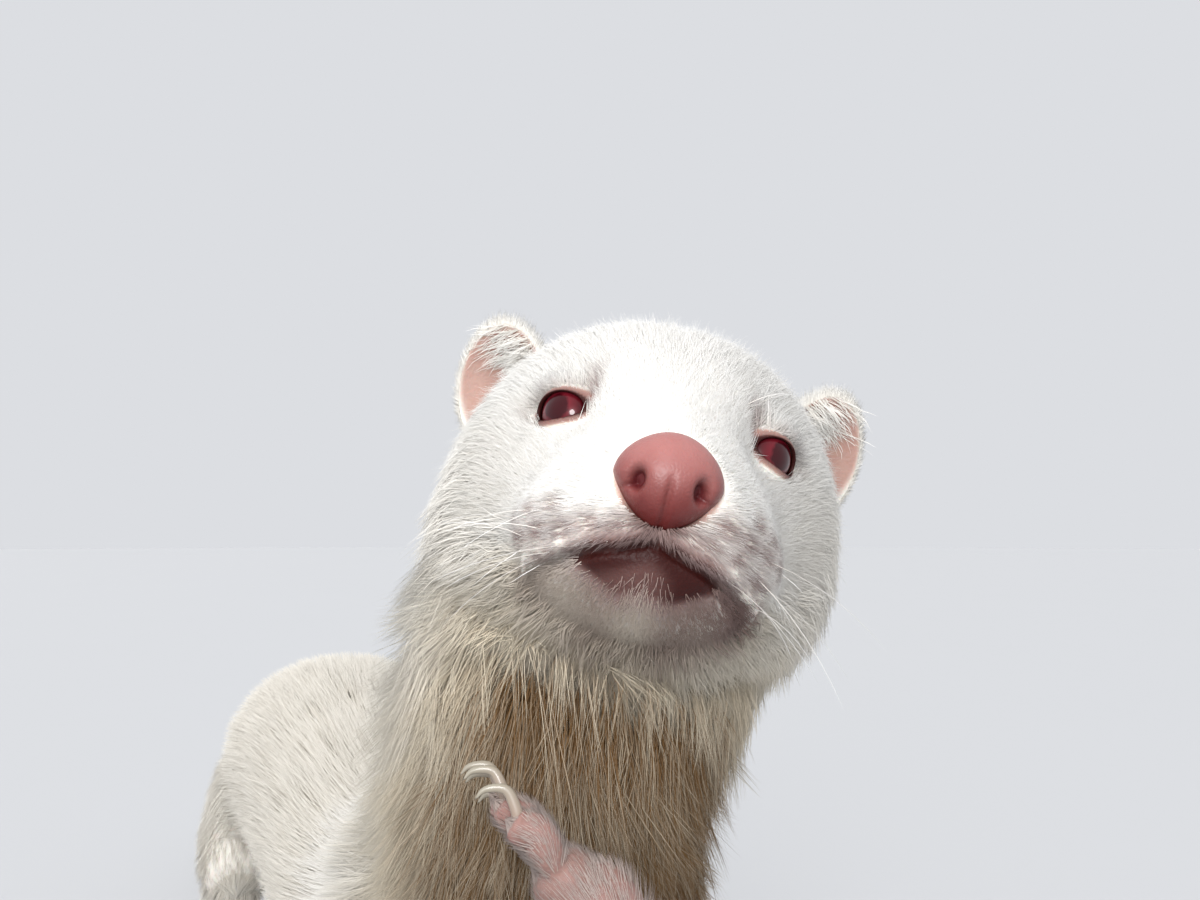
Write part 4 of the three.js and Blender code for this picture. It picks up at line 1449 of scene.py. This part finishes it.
def ear_tufts(side, count, kind):
    edge = rng.uniform(-math.pi, math.pi, count)
    if kind == "back":
        out = np.sqrt(rng.uniform(0.02, 1, count))
        s = 1 - np.arcsin(np.clip(out, 0, 0.999)) / math.pi
        reach, arch = rng.uniform(2, 3.4, count), 0.4
    elif kind == "rim":
        s = rng.uniform(0.4, 0.6, count)
        out = np.sin(s * math.pi)
        reach, arch = rng.uniform(1.1, 2.3, count), 0.3
    else:
        inner = math.pi if side > 0 else 0.0
        edge = inner + rng.normal(0, 0.8, count)
        out = rng.uniform(0.45, 1, count)
        s = np.arcsin(out) / math.pi
        reach, arch = rng.uniform(3, 6, count), 1.5
    root = ear_form(s, edge)
    radial = np.stack((np.cos(edge), 0.1 + 0 * s, np.sin(edge)), 1)
    if kind == "fringe":
        forward, down = rng.uniform(-0.35, 0.1, count), rng.uniform(-0.75, 0.15, count)
        course = np.stack((np.full(count, side * 0.95), forward, down), 1)
        rising = np.array((0, -1.0, 0))
    else:
        course = radial * 0.75 + np.array((0, 0.15, 0.65))
        rising = np.array((0, 1.0, 0)) if kind == "back" else radial
    course = course + rng.normal(0, 0.12, (count, 3))
    course /= length_of(course)
    path = []
    for t in (0, 0.5, 1) if kind == "fringe" else (0, 1):
        bow = arch * math.sin(t * math.pi * 0.8) * (reach / 6)[:, None]
        path.append(metres(in_ear_place(root + course * reach[:, None] * t + rising * bow, side)))
    place = (np.stack((edge / (2 * math.pi) + 0.5, s), 1) % 1 + ((side < 0), 0)) / (2, 1)
    return np.stack(path, 1), place


for name, wanted in (
    ("coat_ears", ((5200, "back"), (3600, "rim"))),
    ("coat_ear_fringe", ((1300, "fringe"),)),
):
    made = [ear_tufts(side, *some) for side in (1, -1) for some in wanted]
    paths, places = (np.concatenate(parts) for parts in zip(*made))
    coat_piece(name, paths, EAR_HAIR, places, lit=1.6)


# Long stiff white whiskers stand out from the muzzle in rows, with two over each eye and one on
# each cheek. They are thin as thread and bent a little by their own weight.
BROWS_AND_CHEEK = [(10, 21, 14), (12.5, 24, 15.5), (22, 34, -12)]
MUZZLE_BACK = 16
WHISKER_STATIONS = 7
WHISKER_SAG = np.array((0, 0.1, -0.22))
WHISKER_WIDE = 0.1
whisker_paths = []
for side in (1, -1):
    for x, y, z in [spot[:3] for spot in WHISKER_BEDS] + BROWS_AND_CHEEK:
        start_at = np.array(tree.find_nearest(metres(from_head((side * x, y, z))).tolist())[0])
        long = rng.uniform(14, 24) if y < MUZZLE_BACK else rng.uniform(9, 14)
        out, back, up = (rng.uniform(*some) for some in ((0.5, 0.85), (0.35, 0.9), (-0.45, 0.1)))
        if y > MUZZLE_BACK:
            out, back, up = 0.5, 0.4, 0.5 if z > 0 else -0.4
        course = np.array((side * out, back, up))
        course = from_head(course / np.linalg.norm(course)) - NOSE_AT
        t = np.linspace(0, 1, WHISKER_STATIONS)[:, None]
        whisker_paths.append(start_at + (course * t + WHISKER_SAG * t * t) * long / 1000)
thread, start = new_finish("whisker")
colour = start.mix(start.attribute("along"), (0.85, 0.78, 0.7), (0.96, 0.95, 0.93))
feed(thread, {"Base Color": colour, "Roughness": 0.35, "Specular IOR Level": 0.5})
whiskers = np.stack(whisker_paths)
coat_piece("whiskers", whiskers, WHISKER_WIDE, rng.random((len(whiskers), 2)), thread)


# A plain pale floor under the animal, in an even pale room. Floor and room are so near in colour
# that the line between them hardly shows.
bpy.ops.object.select_all(action="DESELECT")
bpy.ops.mesh.primitive_circle_add(vertices=96, radius=12, fill_type="NGON")
floor = bpy.context.object
floor.name = "floor"
paint, start = new_finish("pale_floor")
colour = start.mix(start.noise(3.0), (0.539, 0.544, 0.554), (0.545, 0.55, 0.56))
feed(paint, {"Base Color": colour, "Roughness": 0.9})
floor.data.materials.append(paint)
room = bpy.data.worlds.new("room")
bpy.context.scene.world = room
room.use_nodes = True
background = room.node_tree.nodes["Background"]
background.inputs["Color"].default_value = (0.716, 0.73, 0.761, 1)
bpy.context.scene.view_settings.view_transform = "Standard"


# Two very broad, soft lights with no hard shadow: the main one from high before the animal, on
# the camera's left, and a weak one from behind it.
SOFTNESS = 75
for name, energy, course in (
    ("soft_light", 2.1, (0.5, 0.55, -0.62)),
    ("back_light", 0.9, (0.15, -0.75, -0.6)),
):
    light = bpy.data.lights.new(name, "SUN")
    light.energy = energy
    light.angle = math.radians(SOFTNESS)
    soft = into_scene(name, light)
    soft.rotation_euler = Vector(course).to_track_quat("-Z", "Y").to_euler()
    soft.visible_glossy = False


# A small round lamp, which puts the spark in the wet eyes. It hangs close over the camera and is
# aimed between the eyes.
light = bpy.data.lights.new("spark_lamp", "AREA")
light.shape = "DISK"
light.size = 0.04
light.energy = 0.12
spark = into_scene("spark_lamp", light)


# The camera stands close before the muzzle, a little below the eyes, and looks slightly up. Its
# place is given from the nose, along its own view.
CAMERA_ASIDE = 7.7
CAMERA_UP = 2.8
CAMERA_BACK = 91.6
forward = np.array((0.4778, 0.8728, 0.0993))
right = np.array((0.8772, -0.4802, 0))
forward /= np.linalg.norm(forward)
right /= np.linalg.norm(right)
up = np.cross(right, forward)
lens = bpy.data.cameras.new("camera")
lens.lens = 26
lens.sensor_width = 36
lens.clip_start = 0.005
camera = into_scene("camera", lens)
stand = metres(NOSE_AT - CAMERA_ASIDE * right + CAMERA_UP * up - CAMERA_BACK * forward)
turn = Matrix(np.stack((right, up, -forward), 1).tolist())
camera.matrix_world = Matrix.Translation(stand) @ turn.to_4x4()
bpy.context.scene.camera = camera
spark.location = stand + (0.035 * up - 0.01 * right)
aim = Vector(metres(from_head((0, 25, 7)))) - spark.location
spark.rotation_euler = aim.to_track_quat("-Z", "Y").to_euler()
